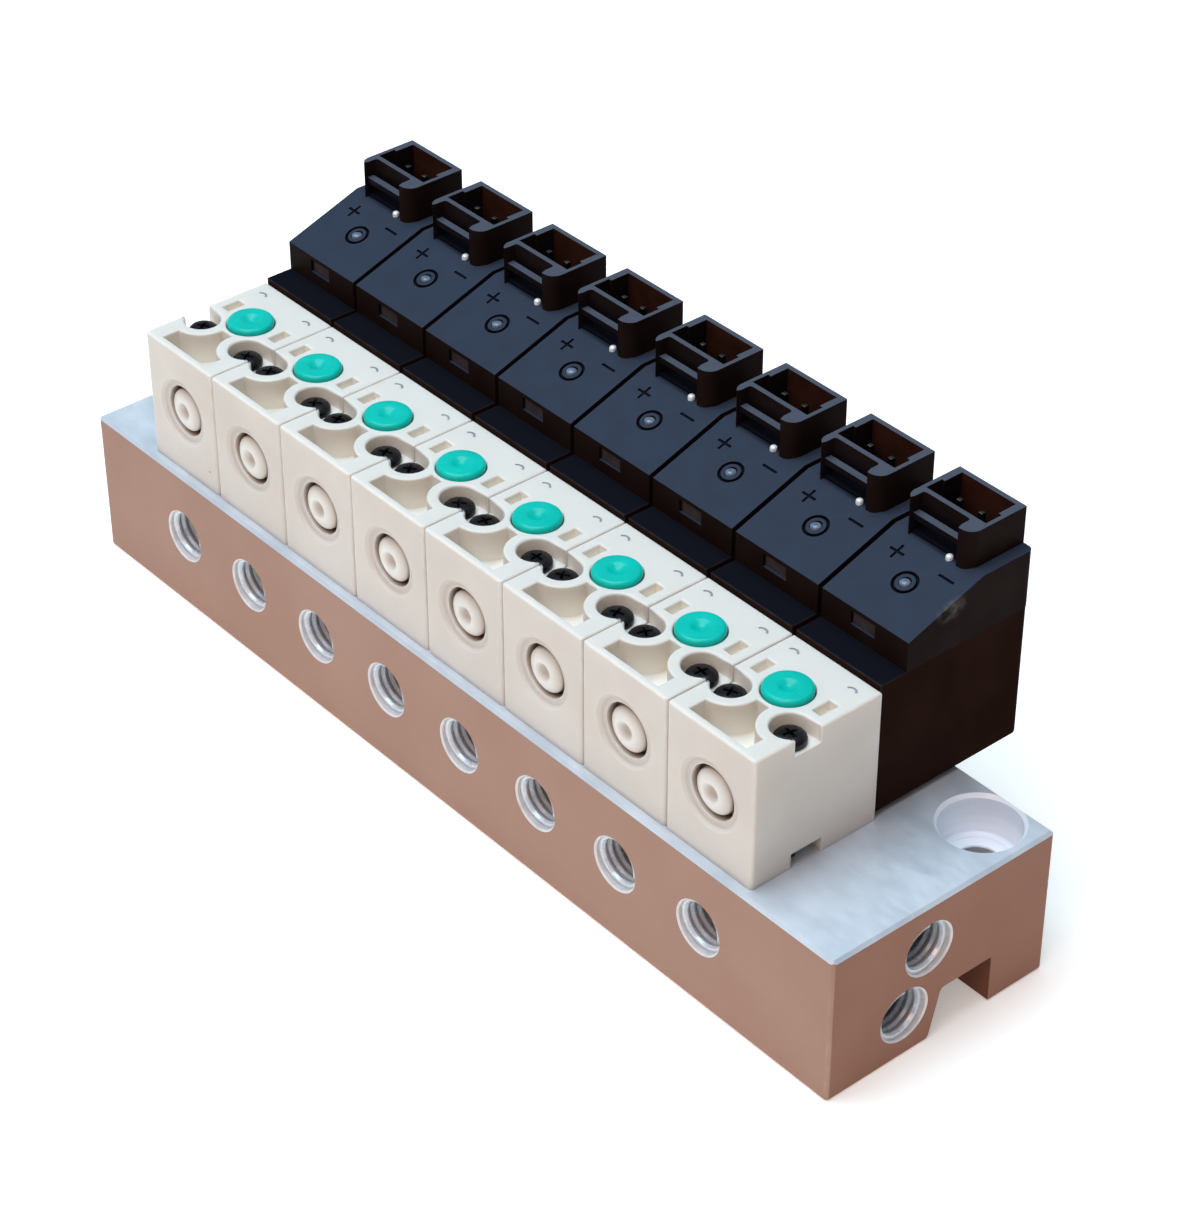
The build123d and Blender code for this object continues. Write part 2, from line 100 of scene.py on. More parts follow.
def turned(profile, axis, centre, steps=48, finish=0, hollow=False):
    """Solid turned about an axis; its profile holds (radius, place along the axis)."""
    shape = bmesh.new()
    rings = []
    for radius, place in profile:
        count = steps if radius > 0 else 1
        ring = []
        for i in range(count):
            angle = 2 * math.pi * i / steps
            across = (centre[0] + radius * math.cos(angle), centre[1] + radius * math.sin(angle))
            ring.append(shape.verts.new(point_across(axis, across, place)))
        rings.append(ring)
    pairs = list(zip(rings, rings[1:]))
    if hollow:
        pairs.append((rings[-1], rings[0]))
    for lower, upper in pairs:
        for i in range(steps):
            j = (i + 1) % steps
            corners = [lower[k % len(lower)] for k in (i, j)]
            corners += [upper[k % len(upper)] for k in (j, i)]
            corners = list(dict.fromkeys(corners))
            if len(corners) > 2:
                shape.faces.new(corners)
    for ring in (rings[0], rings[-1]):
        if len(ring) > 1 and not hollow:
            shape.faces.new(ring)
    for face in shape.faces:
        face.material_index = finish
    bmesh.ops.recalc_face_normals(shape, faces=shape.faces)
    return shape


def as_mesh(shape):
    """Mesh of a drawn shape, with room for six finishes."""
    mesh = bpy.data.meshes.new("scratch")
    shape.to_mesh(mesh)
    shape.free()
    for _ in range(6):
        mesh.materials.append(None)
    return mesh


def in_scene(name, data):
    """New object that stands in the scene."""
    made = bpy.data.objects.new(name, data)
    bpy.context.scene.collection.objects.link(made)
    return made


def as_object(shape):
    """Scratch object that holds a shape while modifiers work on it."""
    mesh = as_mesh(shape) if isinstance(shape, bmesh.types.BMesh) else shape
    return in_scene("scratch", mesh)


def settled(made):
    """Mesh of a scratch object with its modifiers worked in; the object goes."""
    bpy.context.view_layer.update()
    seen = made.evaluated_get(bpy.context.evaluated_depsgraph_get())
    mesh = bpy.data.meshes.new_from_object(seen)
    bpy.data.objects.remove(made)
    return mesh


def worked(shape, tools, operation="DIFFERENCE"):
    """The shape with tools cut out of it, or joined on to it, one after another."""
    made = as_object(shape)
    helpers = [as_object(tool) for tool in tools]
    for helper in helpers:
        step = made.modifiers.new("work", "BOOLEAN")
        step.operation = operation
        step.solver = "EXACT"
        step.object = helper
    mesh = settled(made)
    for helper in helpers:
        bpy.data.objects.remove(helper)
    return mesh


least_turn = math.radians(30)


def eased(shape, radius_of, steps=3):
    """Rounds the edges that turn by more than the least angle, each by what radius_of gives."""
    mesh = as_mesh(shape) if isinstance(shape, bmesh.types.BMesh) else shape
    edit = bmesh.new()
    edit.from_mesh(mesh)
    bmesh.ops.remove_doubles(edit, verts=edit.verts, dist=1e-4)
    bmesh.ops.dissolve_limit(
        edit, angle_limit=0.002, verts=edit.verts, edges=edit.edges, delimit={"MATERIAL"}
    )
    weight = edit.edges.layers.float.new("bevel_weight_edge")
    radii = {}
    for edge in edit.edges:
        if len(edge.link_faces) == 2 and edge.calc_face_angle() > least_turn:
            middle = (edge.verts[0].co + edge.verts[1].co) / 2
            direction = (edge.verts[1].co - edge.verts[0].co).normalized()
            radii[edge] = radius_of(middle, direction, edge.is_convex)
    widest = max(radii.values(), default=0)
    for edge, radius in radii.items():
        edge[weight] = radius / widest if widest else 0
    edit.to_mesh(mesh)
    edit.free()
    made = as_object(mesh)
    if widest:
        bevel = made.modifiers.new("ease", "BEVEL")
        bevel.limit_method = "WEIGHT"
        bevel.width = widest
        bevel.segments = steps
        bevel.use_clamp_overlap = False
        bevel.loop_slide = False
    return settled(made)


broad_face = 0.25


def mark_edges_for_wear_and_highlight(mesh):
    """Records how sharply each point stands on an outward edge; a broad face's rim gets 0."""
    edit = bmesh.new()
    edit.from_mesh(mesh)
    bmesh.ops.remove_doubles(edit, verts=edit.verts, dist=1e-5)
    bmesh.ops.recalc_face_normals(edit, faces=edit.faces)
    layer = edit.verts.layers.float.new("edge_wear_and_glint")
    broad = set()
    for face in edit.faces:
        if face.calc_area() / max(edge.calc_length() for edge in face.edges) > broad_face:
            broad.update(face.verts)
    for vert in edit.verts:
        turns = [e.calc_face_angle_signed(0) for e in vert.link_edges if len(e.link_faces) == 2]
        vert[layer] = 0 if vert in broad else min(1, max(0, max(turns, default=0)) / 0.5)
    edit.to_mesh(mesh)
    edit.free()


def mark_depth(mesh, depth_of, deepest, name="deep"):
    """Records how deep in a bore or pocket each point lies, from 0 at the mouth to 1."""
    layer = mesh.attributes.new(name, "FLOAT", "POINT")
    for index, vert in enumerate(mesh.vertices):
        layer.data[index].value = min(1, max(0, depth_of(vert.co) / deepest))


def smoothed(mesh, sharp=35):
    """Smooth shading that keeps flat faces flat."""
    mesh.shade_smooth()
    mesh.set_sharp_from_angle(angle=math.radians(sharp))
    made = as_object(mesh)
    even = made.modifiers.new("even", "WEIGHTED_NORMAL")
    even.keep_sharp = True
    return settled(made)


def finished(name, mesh, materials, body, nodes):
    """Puts a drawn mesh in the scene in metres, with its finish, body and frame nodes."""
    mesh.name = name
    mesh.transform(Matrix.Scale(0.001, 4))
    while len(mesh.materials) < len(materials):
        mesh.materials.append(None)
    for index, material in enumerate(materials):
        mesh.materials[index] = material
    while len(mesh.materials) > len(materials):
        mesh.materials.pop()
    piece = in_scene(name, mesh)
    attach(piece, body)
    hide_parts(*nodes)
    return piece


def paint(code):
    """Linear colour for a six-figure screen colour."""
    parts = [int(code[i : i + 2], 16) / 255 for i in (0, 2, 4)]
    return [p / 12.92 if p <= 0.04045 else ((p + 0.055) / 1.055) ** 2.4 for p in parts] + [1]


def speckle(tree, size, detail=3.0, stretch=(1, 1, 1)):
    """Noise whose patches are about the given size in millimetres."""
    place = tree.nodes.new("ShaderNodeTexCoord")
    spread = tree.nodes.new("ShaderNodeMapping")
    spread.inputs["Scale"].default_value = stretch
    noise = tree.nodes.new("ShaderNodeTexNoise")
    noise.inputs["Scale"].default_value = 1000 / size
    noise.inputs["Detail"].default_value = detail
    tree.links.new(place.outputs["Object"], spread.inputs["Vector"])
    tree.links.new(spread.outputs["Vector"], noise.inputs["Vector"])
    return noise.outputs[0]


def ranged(tree, value, low, high, to_low, to_high):
    """A value moved from one range to another."""
    made = tree.nodes.new("ShaderNodeMapRange")
    limits = {"From Min": low, "From Max": high, "To Min": to_low, "To Max": to_high}
    for socket, number in limits.items():
        made.inputs[socket].default_value = number
    tree.links.new(value, made.inputs["Value"])
    return made.outputs["Result"]


def mixed(tree, factor, first, second):
    """Colour between two others, each a colour or the output of a node."""
    made = tree.nodes.new("ShaderNodeMix")
    made.data_type = "RGBA"
    tree.links.new(factor, made.inputs[0])
    for index, colour in ((6, first), (7, second)):
        if isinstance(colour, bpy.types.NodeSocket):
            tree.links.new(colour, made.inputs[index])
        else:
            made.inputs[index].default_value = colour
    return made.outputs[2]


def product(tree, first, second):
    """Two values multiplied."""
    made = tree.nodes.new("ShaderNodeMath")
    made.operation = "MULTIPLY"
    tree.links.new(first, made.inputs[0])
    tree.links.new(second, made.inputs[1])
    return made.outputs[0]


def relief(tree, heights):
    """Bumps laid over one another; each is (height, depth in millimetres)."""
    normal = None
    for height, depth in heights:
        bump = tree.nodes.new("ShaderNodeBump")
        bump.inputs["Strength"].default_value = 1.0
        bump.inputs["Distance"].default_value = depth / 1000
        tree.links.new(height, bump.inputs["Height"])
        if normal:
            tree.links.new(normal, bump.inputs["Normal"])
        normal = bump.outputs["Normal"]
    return normal


def attribute(tree, name):
    """Value that the mesh records at each point."""
    made = tree.nodes.new("ShaderNodeAttribute")
    made.attribute_name = name
    return made.outputs["Fac"]


def spot(tree, centre, reach, size):
    """A broken patch round one place on the object, both in millimetres."""
    place = tree.nodes.new("ShaderNodeTexCoord")
    away = tree.nodes.new("ShaderNodeMapping")
    away.vector_type = "TEXTURE"
    away.inputs["Location"].default_value = [c / 1000 for c in centre]
    away.inputs["Scale"].default_value = [r / 1000 for r in reach]
    length = tree.nodes.new("ShaderNodeVectorMath")
    length.operation = "LENGTH"
    tree.links.new(place.outputs["Object"], away.inputs["Vector"])
    tree.links.new(away.outputs["Vector"], length.inputs[0])
    near = ranged(tree, length.outputs["Value"], 0.35, 1.0, 1.0, 0.0)
    broken = ranged(tree, speckle(tree, size, 4.0), 0.42, 0.6, 0.0, 1.0)
    return product(tree, near, broken)


def finish(
    name, tones, patch, gloss, metallic=0.0, shine=0.5, grain=(0.2, 0.004), edge_wear_and_highlight=None,
    stretch=(1, 1, 1), painted_top_light=None, deep=None, inside=None, spots=(),
):
    """Finish with two tones in patches, uneven gloss, a fine grain, and sharp edges lightened
    by rubbing and by a painted highlight.

    The upward tone is painted light: upward faces take a lighter, cooler sheen for the light
    from overhead. deep is a painted shade far down a bore or gap; inside is a tone painted over
    a pocket or bore, lighter as painted light in the ivory pockets and darker as painted shade
    below the counterbores; and each spot is (centre, reach, size, tone, amount)."""
    material = bpy.data.materials.new(name)
    material.use_nodes = True
    tree = material.node_tree
    shader = tree.nodes["Principled BSDF"]
    patches = ranged(tree, speckle(tree, patch, 4.0, stretch), 0.35, 0.65, 0.0, 1.0)
    colour = mixed(tree, patches, paint(tones[0]), paint(tones[1]))
    # Upward faces take a lighter tone here, painted light and sheen from overhead.
    if painted_top_light:
        facing = tree.nodes.new("ShaderNodeNewGeometry")
        parts = tree.nodes.new("ShaderNodeSeparateXYZ")
        tree.links.new(facing.outputs["Normal"], parts.inputs[0])
        cloudy = ranged(tree, speckle(tree, patch / 2, 4.0), 0.3, 0.7, 0.92, 1.0)
        upward = product(tree, ranged(tree, parts.outputs["Z"], 0.35, 0.85, 0.0, 1.0), cloudy)
        colour = mixed(tree, upward, colour, paint(painted_top_light))
    for centre, reach, size, tone, amount in spots:
        mark = ranged(tree, spot(tree, centre, reach, size), 0.0, 1.0, 0.0, amount)
        colour = mixed(tree, mark, colour, paint(tone))
    # Sharp outward edges are lightened here, partly as rubbing and partly as a painted highlight.
    if edge_wear_and_highlight:
        broken = ranged(tree, speckle(tree, 1.5, 4.0), 0.3, 0.7, 0.2, 1.0)
        edge_wear_and_highlight_mask = product(tree, attribute(tree, "edge_wear_and_glint"), broken)
        amount = ranged(tree, edge_wear_and_highlight_mask, 0.0, 1.0, 0.0, edge_wear_and_highlight[1])
        colour = mixed(tree, amount, colour, paint(edge_wear_and_highlight[0]))
    # Pockets and bores take a painted tone here: lighter as painted light in the ivory pockets,
    # darker as painted shade below the counterbores.
    if inside:
        colour = mixed(tree, attribute(tree, "inside"), colour, paint(inside))
    # The deep tone is a painted shade, darkest far down a bore or gap.
    if deep:
        colour = mixed(tree, attribute(tree, "deep"), colour, paint(deep))
    tree.links.new(colour, shader.inputs["Base Color"])
    uneven = ranged(tree, speckle(tree, patch / 3, 3.0, stretch), 0.3, 0.7, *gloss)
    tree.links.new(uneven, shader.inputs["Roughness"])
    grains = [(speckle(tree, grain[0], 2.0, stretch), grain[1])]
    tree.links.new(relief(tree, grains), shader.inputs["Normal"])
    shader.inputs["Metallic"].default_value = metallic
    shader.inputs["Specular IOR Level"].default_value = shine
    return material


base_low, base_high = span("manifold_base")
base_rim = 0.3  # chamfer round the faced top
base_corner = 0.45
channel_y = (base_low.y + 11.7, base_low.y + 12.5, base_low.y + 18.45)
channel_top = 5.0
foot_round = 0.9
roof_round = 0.5
port_tap = 2.53
port_mouth = 2.68
outlet_z = 8.1
outlet_depth = 5.0
thread_depth = 8.0
gallery_bore = 2.1
galleries = ((base_low.y + 10.85, 10.3), (base_low.y + 8.45, 4.5))
mount_x = base_high.x - 4.7
mount_y = base_high.y - 3.9
mount_bore = 1.9
counterbore = 3.6
counterbore_depth = 4.0
port_deepest = 4.4

valve_bodies = sorted(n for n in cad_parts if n.startswith("valve_body_"))
valve_xs = [(span(n)[0].x + span(n)[1].x) / 2 for n in valve_bodies]

# Section of the bar, with the corners of the channel rounded where the cutter left them
lean = math.degrees(math.atan2(channel_top, channel_y[1] - channel_y[0]))
foot_back = foot_round * math.tan(math.radians(90 - lean / 2))
foot_centre = (channel_y[0] - foot_back, foot_round)
section = [(base_low.y, 0), (base_high.y, 0)]
section += [(base_high.y, base_high.z), (base_low.y, base_high.z)]
channel = [(channel_y[0] - foot_back, -1)]
channel += arc(foot_centre, foot_round, -90, lean - 90, 6)
channel += arc((channel_y[1] + roof_round, channel_top - roof_round), roof_round, 90 + lean, 90, 5)
channel += arc((channel_y[2] - 0.25, channel_top - 0.25), 0.25, 90, 0, 4)
channel += [(channel_y[2], 0.2), (channel_y[2] + 0.2, 0), (channel_y[2] + 0.2, -1)]


def bar_edge(middle, along, convex):
    """Radius of each edge of the bar; its faced top gets a chamfer later."""
    if abs(along.z) > 0.9:
        return base_corner
    return base_rim if middle.z < 1 else 0


bar = eased(prism(section, "X", base_low.x, base_high.x), bar_edge, steps=4)
bar = worked(bar, [prism(channel, "X", base_low.x - 1, base_high.x + 1)])


def port_tool(axis, centre, mouth, inward, bore, depth, end):
    """Cutter for a tapped port: chamfered mouth, tapped length, then what lies behind it."""
    profile = [(0, mouth - inward), (port_mouth + 0.3, mouth - inward * 0.3), (port_mouth, mouth)]
    profile += [(bore, mouth + inward * (port_mouth - bore)), (bore, mouth + inward * depth)]
    profile += end
    return turned(profile, axis, centre, 48, finish=2)


tools = []
for x in valve_xs:
    tip = [(1.2, base_low.y + outlet_depth + 0.75), (0, base_low.y + outlet_depth + 1.3)]
    tools.append(port_tool("Y", (x, outlet_z), base_low.y, 1, port_tap, outlet_depth, tip))
for y, z in galleries:
    for mouth, inward in ((base_low.x, 1), (base_high.x, -1)):
        end = [(gallery_bore, mouth + inward * (thread_depth + 0.4)), (gallery_bore, 0), (0, 0)]
        tools.append(port_tool("X", (y, z), mouth, inward, port_tap, thread_depth, end))
floor = base_high.z - counterbore_depth
rim = counterbore + 0.28
profile = [(0, base_high.z + 1), (rim, base_high.z + 1), (rim, base_high.z)]
profile += [(counterbore + 0.08, base_high.z - 0.26), (counterbore, base_high.z - 0.36)]
profile += [(counterbore, floor + 0.3), (counterbore - 0.1, floor + 0.1)]
profile += [(counterbore - 0.3, floor), (3.02, floor), (2.94, floor - 0.1)]
profile += [(mount_bore + 0.12, floor - 0.12), (mount_bore, floor - 0.25), (mount_bore, 0.25)]
profile += [(mount_bore + 0.25, 0), (mount_bore + 0.25, -1), (0, -1)]
for side in (-1, 1):
    tools.append(turned(profile, "Z", (side * mount_x, mount_y), 64, finish=3))
bar = worked(bar, tools)

# The faced top: a chamfer all round it, with the bare metal's finish
skims = []
for axis, run, side, face in (
    ("X", 0, 1, base_low.y), ("X", 0, -1, base_high.y),
    ("Y", 1, -1, base_high.x), ("Y", 1, 1, base_low.x),
):
    wedge = [(face - side, base_high.z - 1 - base_rim), (face - side, base_high.z + 1)]
    wedge += [(face + side * (1 + base_rim), base_high.z + 1)]
    skims.append(prism(wedge, axis, base_low[run] - 1, base_high[run] + 1, finish=1))
bar = worked(bar, skims)
# The end faces and the channel underneath get darker browns here, as painted shade.
for polygon in bar.polygons:
    in_channel = polygon.center.z < channel_top + 0.1 and polygon.normal.z > -0.99
    if polygon.normal.z > 0.99 and polygon.center.z > base_high.z - 0.01:
        polygon.material_index = 1
    elif polygon.material_index == 0 and abs(polygon.normal.x) > 0.9:
        polygon.material_index = 4
    elif polygon.material_index == 0 and in_channel and abs(polygon.center.y) < base_high.y - 0.5:
        polygon.material_index = 5


def port_depth(place):
    """How far in a tapped port a point lies, for the painted shade down the port; the outlets are
    seen from closer to their sides.
    """
    return min((place.y - base_low.y) * 0.8, base_high.x - abs(place.x))


mark_edges_for_wear_and_highlight(bar)
bar = smoothed(bar, 28)
mark_depth(bar, port_depth, port_deepest)
# Below each counterbore's floor the bore is painted darker, as painted shade.
mark_depth(bar, lambda place: base_high.z - counterbore_depth - 0.2 - place.z, 0.1, "inside")

anodised = finish(
    "anodised_brown", ("A27E6D", "A68372"), 9.0, (0.45, 0.48), metallic=0.1, shine=0.1,
    grain=(0.12, 0.0025), edge_wear_and_highlight=("C9B2A6", 0.55),
)
shaded_end_brown = finish(
    "end_anodised_painted_shade", ("956B59", "9A705E"), 9.0, (0.45, 0.48), metallic=0.1, shine=0.05,
    grain=(0.12, 0.0025), edge_wear_and_highlight=("C4A596", 0.5),
    spots=[((base_high.x, 8.9, 9.65), (0.3, 0.12, 0.35), 0.8, "E8DCD6", 0.8)],
)
shaded_channel_brown = finish(
    "channel_anodised_painted_shade", ("6B4234", "734A3B"), 6.0, (0.5, 0.6), metallic=0.0, shine=0.05,
    grain=(0.12, 0.0025), edge_wear_and_highlight=("9A7B6C", 0.4),
)
# A thin white line is painted along the faced top, the painted highlight of a very small step in
# it.
bare_metal = finish(
    "bare_aluminium", ("C8D0DA", "DBE2EA"), 3.0, (0.36, 0.48), metallic=0.4, shine=0.5,
    grain=(0.25, 0.003), edge_wear_and_highlight=("F4F8FC", 0.6), stretch=(0.5, 1, 1),
    spots=[((base_high.x - 3, -7.0, base_high.z), (6.5, 0.09, 1), 4.0, "FFFFFF", 0.7)],
)
# The tapped walls darken towards the bottom of each port, as painted shade.
tapped_wall = finish(
    "tapped_wall", ("D6D2D2", "E6E2E2"), 1.0, (0.35, 0.5), metallic=0.1, shine=0.5,
    grain=(0.2, 0.003), edge_wear_and_highlight=("E6D8D0", 0.5), deep="0A0A0C",
)
# Painted light: the counterbore walls take a near-white tone, lighter than the bare top, for light
# that barely reaches them.
brightened_bore_metal = finish(
    "bore_aluminium_painted_light", ("E9EFF8", "F6F9FD"), 1.5, (0.3, 0.42), metallic=0.05, shine=0.5,
    grain=(0.3, 0.004), edge_wear_and_highlight=("FFFFFF", 0.6), stretch=(0.05, 0.05, 1), inside="4A5258",
)
finished(
    "manifold_bar", bar, [anodised, bare_metal, tapped_wall, brightened_bore_metal, shaded_end_brown, shaded_channel_brown],
    "island", ["manifold_base"],
)

# Port threads
# The outlets and the ends of both galleries are tapped, and their threads are left bright.
# Each is one helical ridge whose root lies in the wall of the bore.


def new_tree(name, inputs):
    """Geometry node tree with named inputs, given as (name, kind, value)."""
    tree = bpy.data.node_groups.new(name, "GeometryNodeTree")
    tree.interface.new_socket("Geometry", in_out="INPUT", socket_type="NodeSocketGeometry")
    for label, kind, value in inputs:
        socket = tree.interface.new_socket(label, in_out="INPUT", socket_type=kind)
        if value is not None:
            socket.default_value = value
    tree.interface.new_socket("Geometry", in_out="OUTPUT", socket_type="NodeSocketGeometry")
    return tree, tree.nodes.new("NodeGroupInput"), tree.nodes.new("NodeGroupOutput")


def add(tree, kind, links=(), values=(), **settings):
    """Node with its settings, incoming links and values by socket name."""
    made = tree.nodes.new(kind)
    for key, value in settings.items():
        setattr(made, key, value)
    for socket, source in dict(links).items():
        tree.links.new(source, made.inputs[socket])
    for socket, value in dict(values).items():
        made.inputs[socket].default_value = value
    return made


def grown(mesh, tree, values):
    """Mesh that a geometry node tree makes from the given one, with inputs set by name."""
    made = as_object(mesh)
    step = made.modifiers.new("grow", "NODES")
    step.node_group = tree
    for item in tree.interface.items_tree:
        if item.item_type == "SOCKET" and item.in_out == "INPUT" and item.name in values:
            step[item.identifier] = values[item.name]
    return settled(made)


def closed(tree, placed, given, result):
    """The tree, ended with its copies made real and given their finish."""
    real = add(tree, "GeometryNodeRealizeInstances", {"Geometry": placed.outputs[0]})
    links = {"Geometry": real.outputs[0], "Material": given.outputs["Finish"]}
    dressed = add(tree, "GeometryNodeSetMaterial", links)
    tree.links.new(dressed.outputs[0], result.inputs[0])
    return tree


def helix_tree():
    """A wound ridge or wire on every point, turned to the direction that the point is given."""
    tree, given, result = new_tree(
        "wound_helix",
        [
            ("Radius", "NodeSocketFloat", 2.0),
            ("Pitch", "NodeSocketFloat", 0.8),
            ("Turns", "NodeSocketFloat", 6.0),
            ("Thickness", "NodeSocketFloat", 0.2),
            ("Sides", "NodeSocketInt", 8),
            ("Steps", "NodeSocketInt", 28),
            ("Turned", "NodeSocketVector", (0, 0, 0)),
            ("Finish", "NodeSocketMaterial", None),
        ],
    )
    put = given.outputs
    rise = add(tree, "ShaderNodeMath", {0: put["Pitch"], 1: put["Turns"]}, operation="MULTIPLY")
    line = add(
        tree, "GeometryNodeCurveSpiral",
        {
            "Resolution": put["Steps"], "Rotations": put["Turns"], "Start Radius": put["Radius"],
            "End Radius": put["Radius"], "Height": rise.outputs[0],
        },
    )
    upright = add(tree, "GeometryNodeSetCurveNormal", {"Curve": line.outputs[0]}, mode="Z_UP")
    outline = add(
        tree, "GeometryNodeCurvePrimitiveCircle",
        {"Resolution": put["Sides"], "Radius": put["Thickness"]},
    )
    wire = add(
        tree, "GeometryNodeCurveToMesh",
        {"Curve": upright.outputs[0], "Profile Curve": outline.outputs[0]}, {"Fill Caps": True},
    )
    placed = add(
        tree, "GeometryNodeInstanceOnPoints",
        {"Points": put["Geometry"], "Instance": wire.outputs[0], "Rotation": put["Turned"]},
    )
    return closed(tree, placed, given, result)


def points(places):
    """Mesh of loose points."""
    mesh = bpy.data.meshes.new("places")
    mesh.from_pydata([tuple(p) for p in places], [], [])
    return mesh


def together(meshes):
    """One mesh made of several."""
    edit = bmesh.new()
    for mesh in meshes:
        edit.from_mesh(mesh)
    bmesh.ops.recalc_face_normals(edit, faces=edit.faces)
    made = bpy.data.meshes.new("together")
    edit.to_mesh(made)
    edit.free()
    return made


helix = helix_tree()
thread_pitch = 0.75
thread_ridge = 0.38
thread_start = 0.4
quarter = math.radians(90)
# The thread's crests are lightened as a painted highlight, and it darkens deep in each port and at
# its root as painted shade.
bright_thread = finish(
    "cut_thread", ("E8EFF8", "F6F9FD"), 2.0, (0.2, 0.3), metallic=0.15, shine=0.7,
    grain=(0.3, 0.0015), edge_wear_and_highlight=("FFFFFF", 0.8), deep="060709",
)
common = {
    "Radius": port_tap, "Pitch": thread_pitch, "Thickness": thread_ridge, "Sides": 8, "Steps": 36,
    "Finish": bright_thread,
}
thread_sets = [
    ([(x, base_low.y + thread_start, outlet_z) for x in valve_xs], (-quarter, 0, 0), 5.2),
    ([(base_high.x - thread_start, y, z) for y, z in galleries], (0, -quarter, 0), 9.0),
    ([(base_low.x + thread_start, y, z) for y, z in galleries], (0, quarter, 0), 9.0),
]
ridges = [
    grown(points(places), helix, {**common, "Turned": turn, "Turns": turns})
    for places, turn, turns in thread_sets
]
threads = together(ridges)
root_shade = 0.6


def thread_depth_at(place):
    """Painted shade of a point of thread: its depth in the port, or the shade of the thread's root
    where that is darker.
    """
    if place.y < base_low.y + 6.5 and abs(place.x) < base_high.x - 6:
        across = min(math.hypot(place.x - x, place.z - outlet_z) for x in valve_xs)
    else:
        across = min(math.hypot(place.y - y, place.z - z) for y, z in galleries)
    root = root_shade if across > port_tap - 0.06 else 0
    return max(port_depth(place), root * port_deepest)


mark_edges_for_wear_and_highlight(threads)
mark_depth(threads, thread_depth_at, port_deepest)
threads.shade_smooth()
threads.set_sharp_from_angle(angle=math.radians(40))
finished(
    "port_threads", threads, [bright_thread], "island", ["manifold_base"],
)

# Port gaskets
# A moulded rubber plate with three windows lies between each valve and the bar, and seals the
# drillings that lead to the galleries and to the outlet.


def from_frame(node, rounding, steps=2):
    """The solids of a frame node in millimetres, merged and with their edges eased."""
    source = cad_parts[node].data
    mesh = bpy.data.meshes.new("scratch")
    corners = [vert.co * 1000 for vert in source.vertices]
    mesh.from_pydata(corners, [], [tuple(face.vertices) for face in source.polygons])
    for _ in range(6):
        mesh.materials.append(None)
    mesh = eased(mesh, lambda middle, along, convex: rounding if convex else 0, steps=steps)
    mark_edges_for_wear_and_highlight(mesh)
    return smoothed(mesh)


rubber = finish(
    "gasket_rubber_black", ("141414", "1D1C1C"), 2.0, (0.6, 0.75), shine=0.3, grain=(0.3, 0.006),
    edge_wear_and_highlight=("3A3938", 0.4),
)
gaskets = from_frame("port_gaskets", 0.12)
finished("gasket_plates", gaskets, [rubber], "island", ["port_gaskets"])

# Valve bodies
# Eight ivory mouldings with soft edges. Each has a pocket in front, two screw seats open to
# the sides, a bore for the override button and a dished bore for the plug in its front.

body_low, body_high = span("valve_body_1")
body_half = (body_high.x - body_low.x) / 2
body_front = body_low.y
body_top = body_high.z
axis_z = base_high.z + 7.05
pocket_half = 3.35
pocket_y = (body_front + 0.75, body_front + 5.6)
pocket_depth = 3.1
seat_x = 3.5
seat_y = body_front + 5.3
seat_radius = 1.7
seat_ring = 2.8
seat_depth = 1.65
shank_radius = 0.85
button_y = body_front + 8.3
button_radius = 2.2
plug_bore = 2.5
dish_radius = 3.4
dish_depth = 0.34
plug_z = axis_z - 0.3
button_floor = span("button_springs")[0].z
slot_x = (3.15, 4.15)
slot_y = (body_front + 8.0, body_front + 9.9)
mark_y = body_front + 11.85
notch = (body_half - 2.8, body_half + 1)
notch_y = (body_front + 4.3, body_front + 7.7)
chamber_y = body_front + 7.3
chamber_radius = 2.05
mark_outer = 0.65
mark_inner = 0.44


def rod(radius, low, high):
    """Profile of a plain round rod between two places along its axis."""
    return [(0, low), (radius, low), (radius, high), (0, high)]


# Outline of the pocket, which bends round both screw seats
corner = math.degrees(math.asin((seat_x - pocket_half) / seat_ring))
inner = math.degrees(math.asin((pocket_y[1] - seat_y) / seat_ring))
right_bend = arc((seat_x, seat_y), seat_ring, 270 - corner, 180 - inner, 16)
pocket = [(-pocket_half, pocket_y[0]), (pocket_half, pocket_y[0])]
pocket += right_bend
pocket += [(-x, y) for x, y in reversed(right_bend)]

tools = [prism(pocket, "Z", body_top - pocket_depth, body_top + 1)]
for side in (-1, 1):
    bend = arc((seat_x, seat_y), seat_radius, 90, 325, 26)
    seat = bend + [(body_half + 1, bend[-1][1]), (body_half + 1, seat_y + seat_radius + 0.2)]
    seat += [(body_half - 0.5, seat_y + seat_radius + 0.12)]
    seat = [(side * x, y) for x, y in seat]
    tools.append(prism(seat, "Z", body_top - seat_depth, body_top + 1))
    tools.append(slab(sorted(side * x for x in slot_x), slot_y, (body_top - 1.0, body_top + 1)))
    notch_x = sorted(side * x for x in notch)
    tools.append(slab(notch_x, notch_y, (base_high.z - 1, base_high.z + 1.5)))
    hole = rod(shank_radius + 0.1, base_high.z + 1, body_top - seat_depth + 0.5)
    tools.append(turned(hole, "Z", (side * seat_x, seat_y), 20))
    mark = arc((side * 3.4, mark_y), mark_outer, 25, 155, 8)
    mark += arc((side * 3.4, mark_y), mark_inner, 155, 25, 8)
    tools.append(prism(mark, "Z", body_top - 0.05, body_top + 1, finish=1))
well = rod(button_radius + 0.1, button_floor, body_top + 1)
tools.append(turned(well, "Z", (0, button_y), 48))
guide = rod(0.95, axis_z, button_floor + 0.3)
tools.append(turned(guide, "Z", (0, button_y), 20))
chamber = rod(chamber_radius, chamber_y, body_high.y + 1)
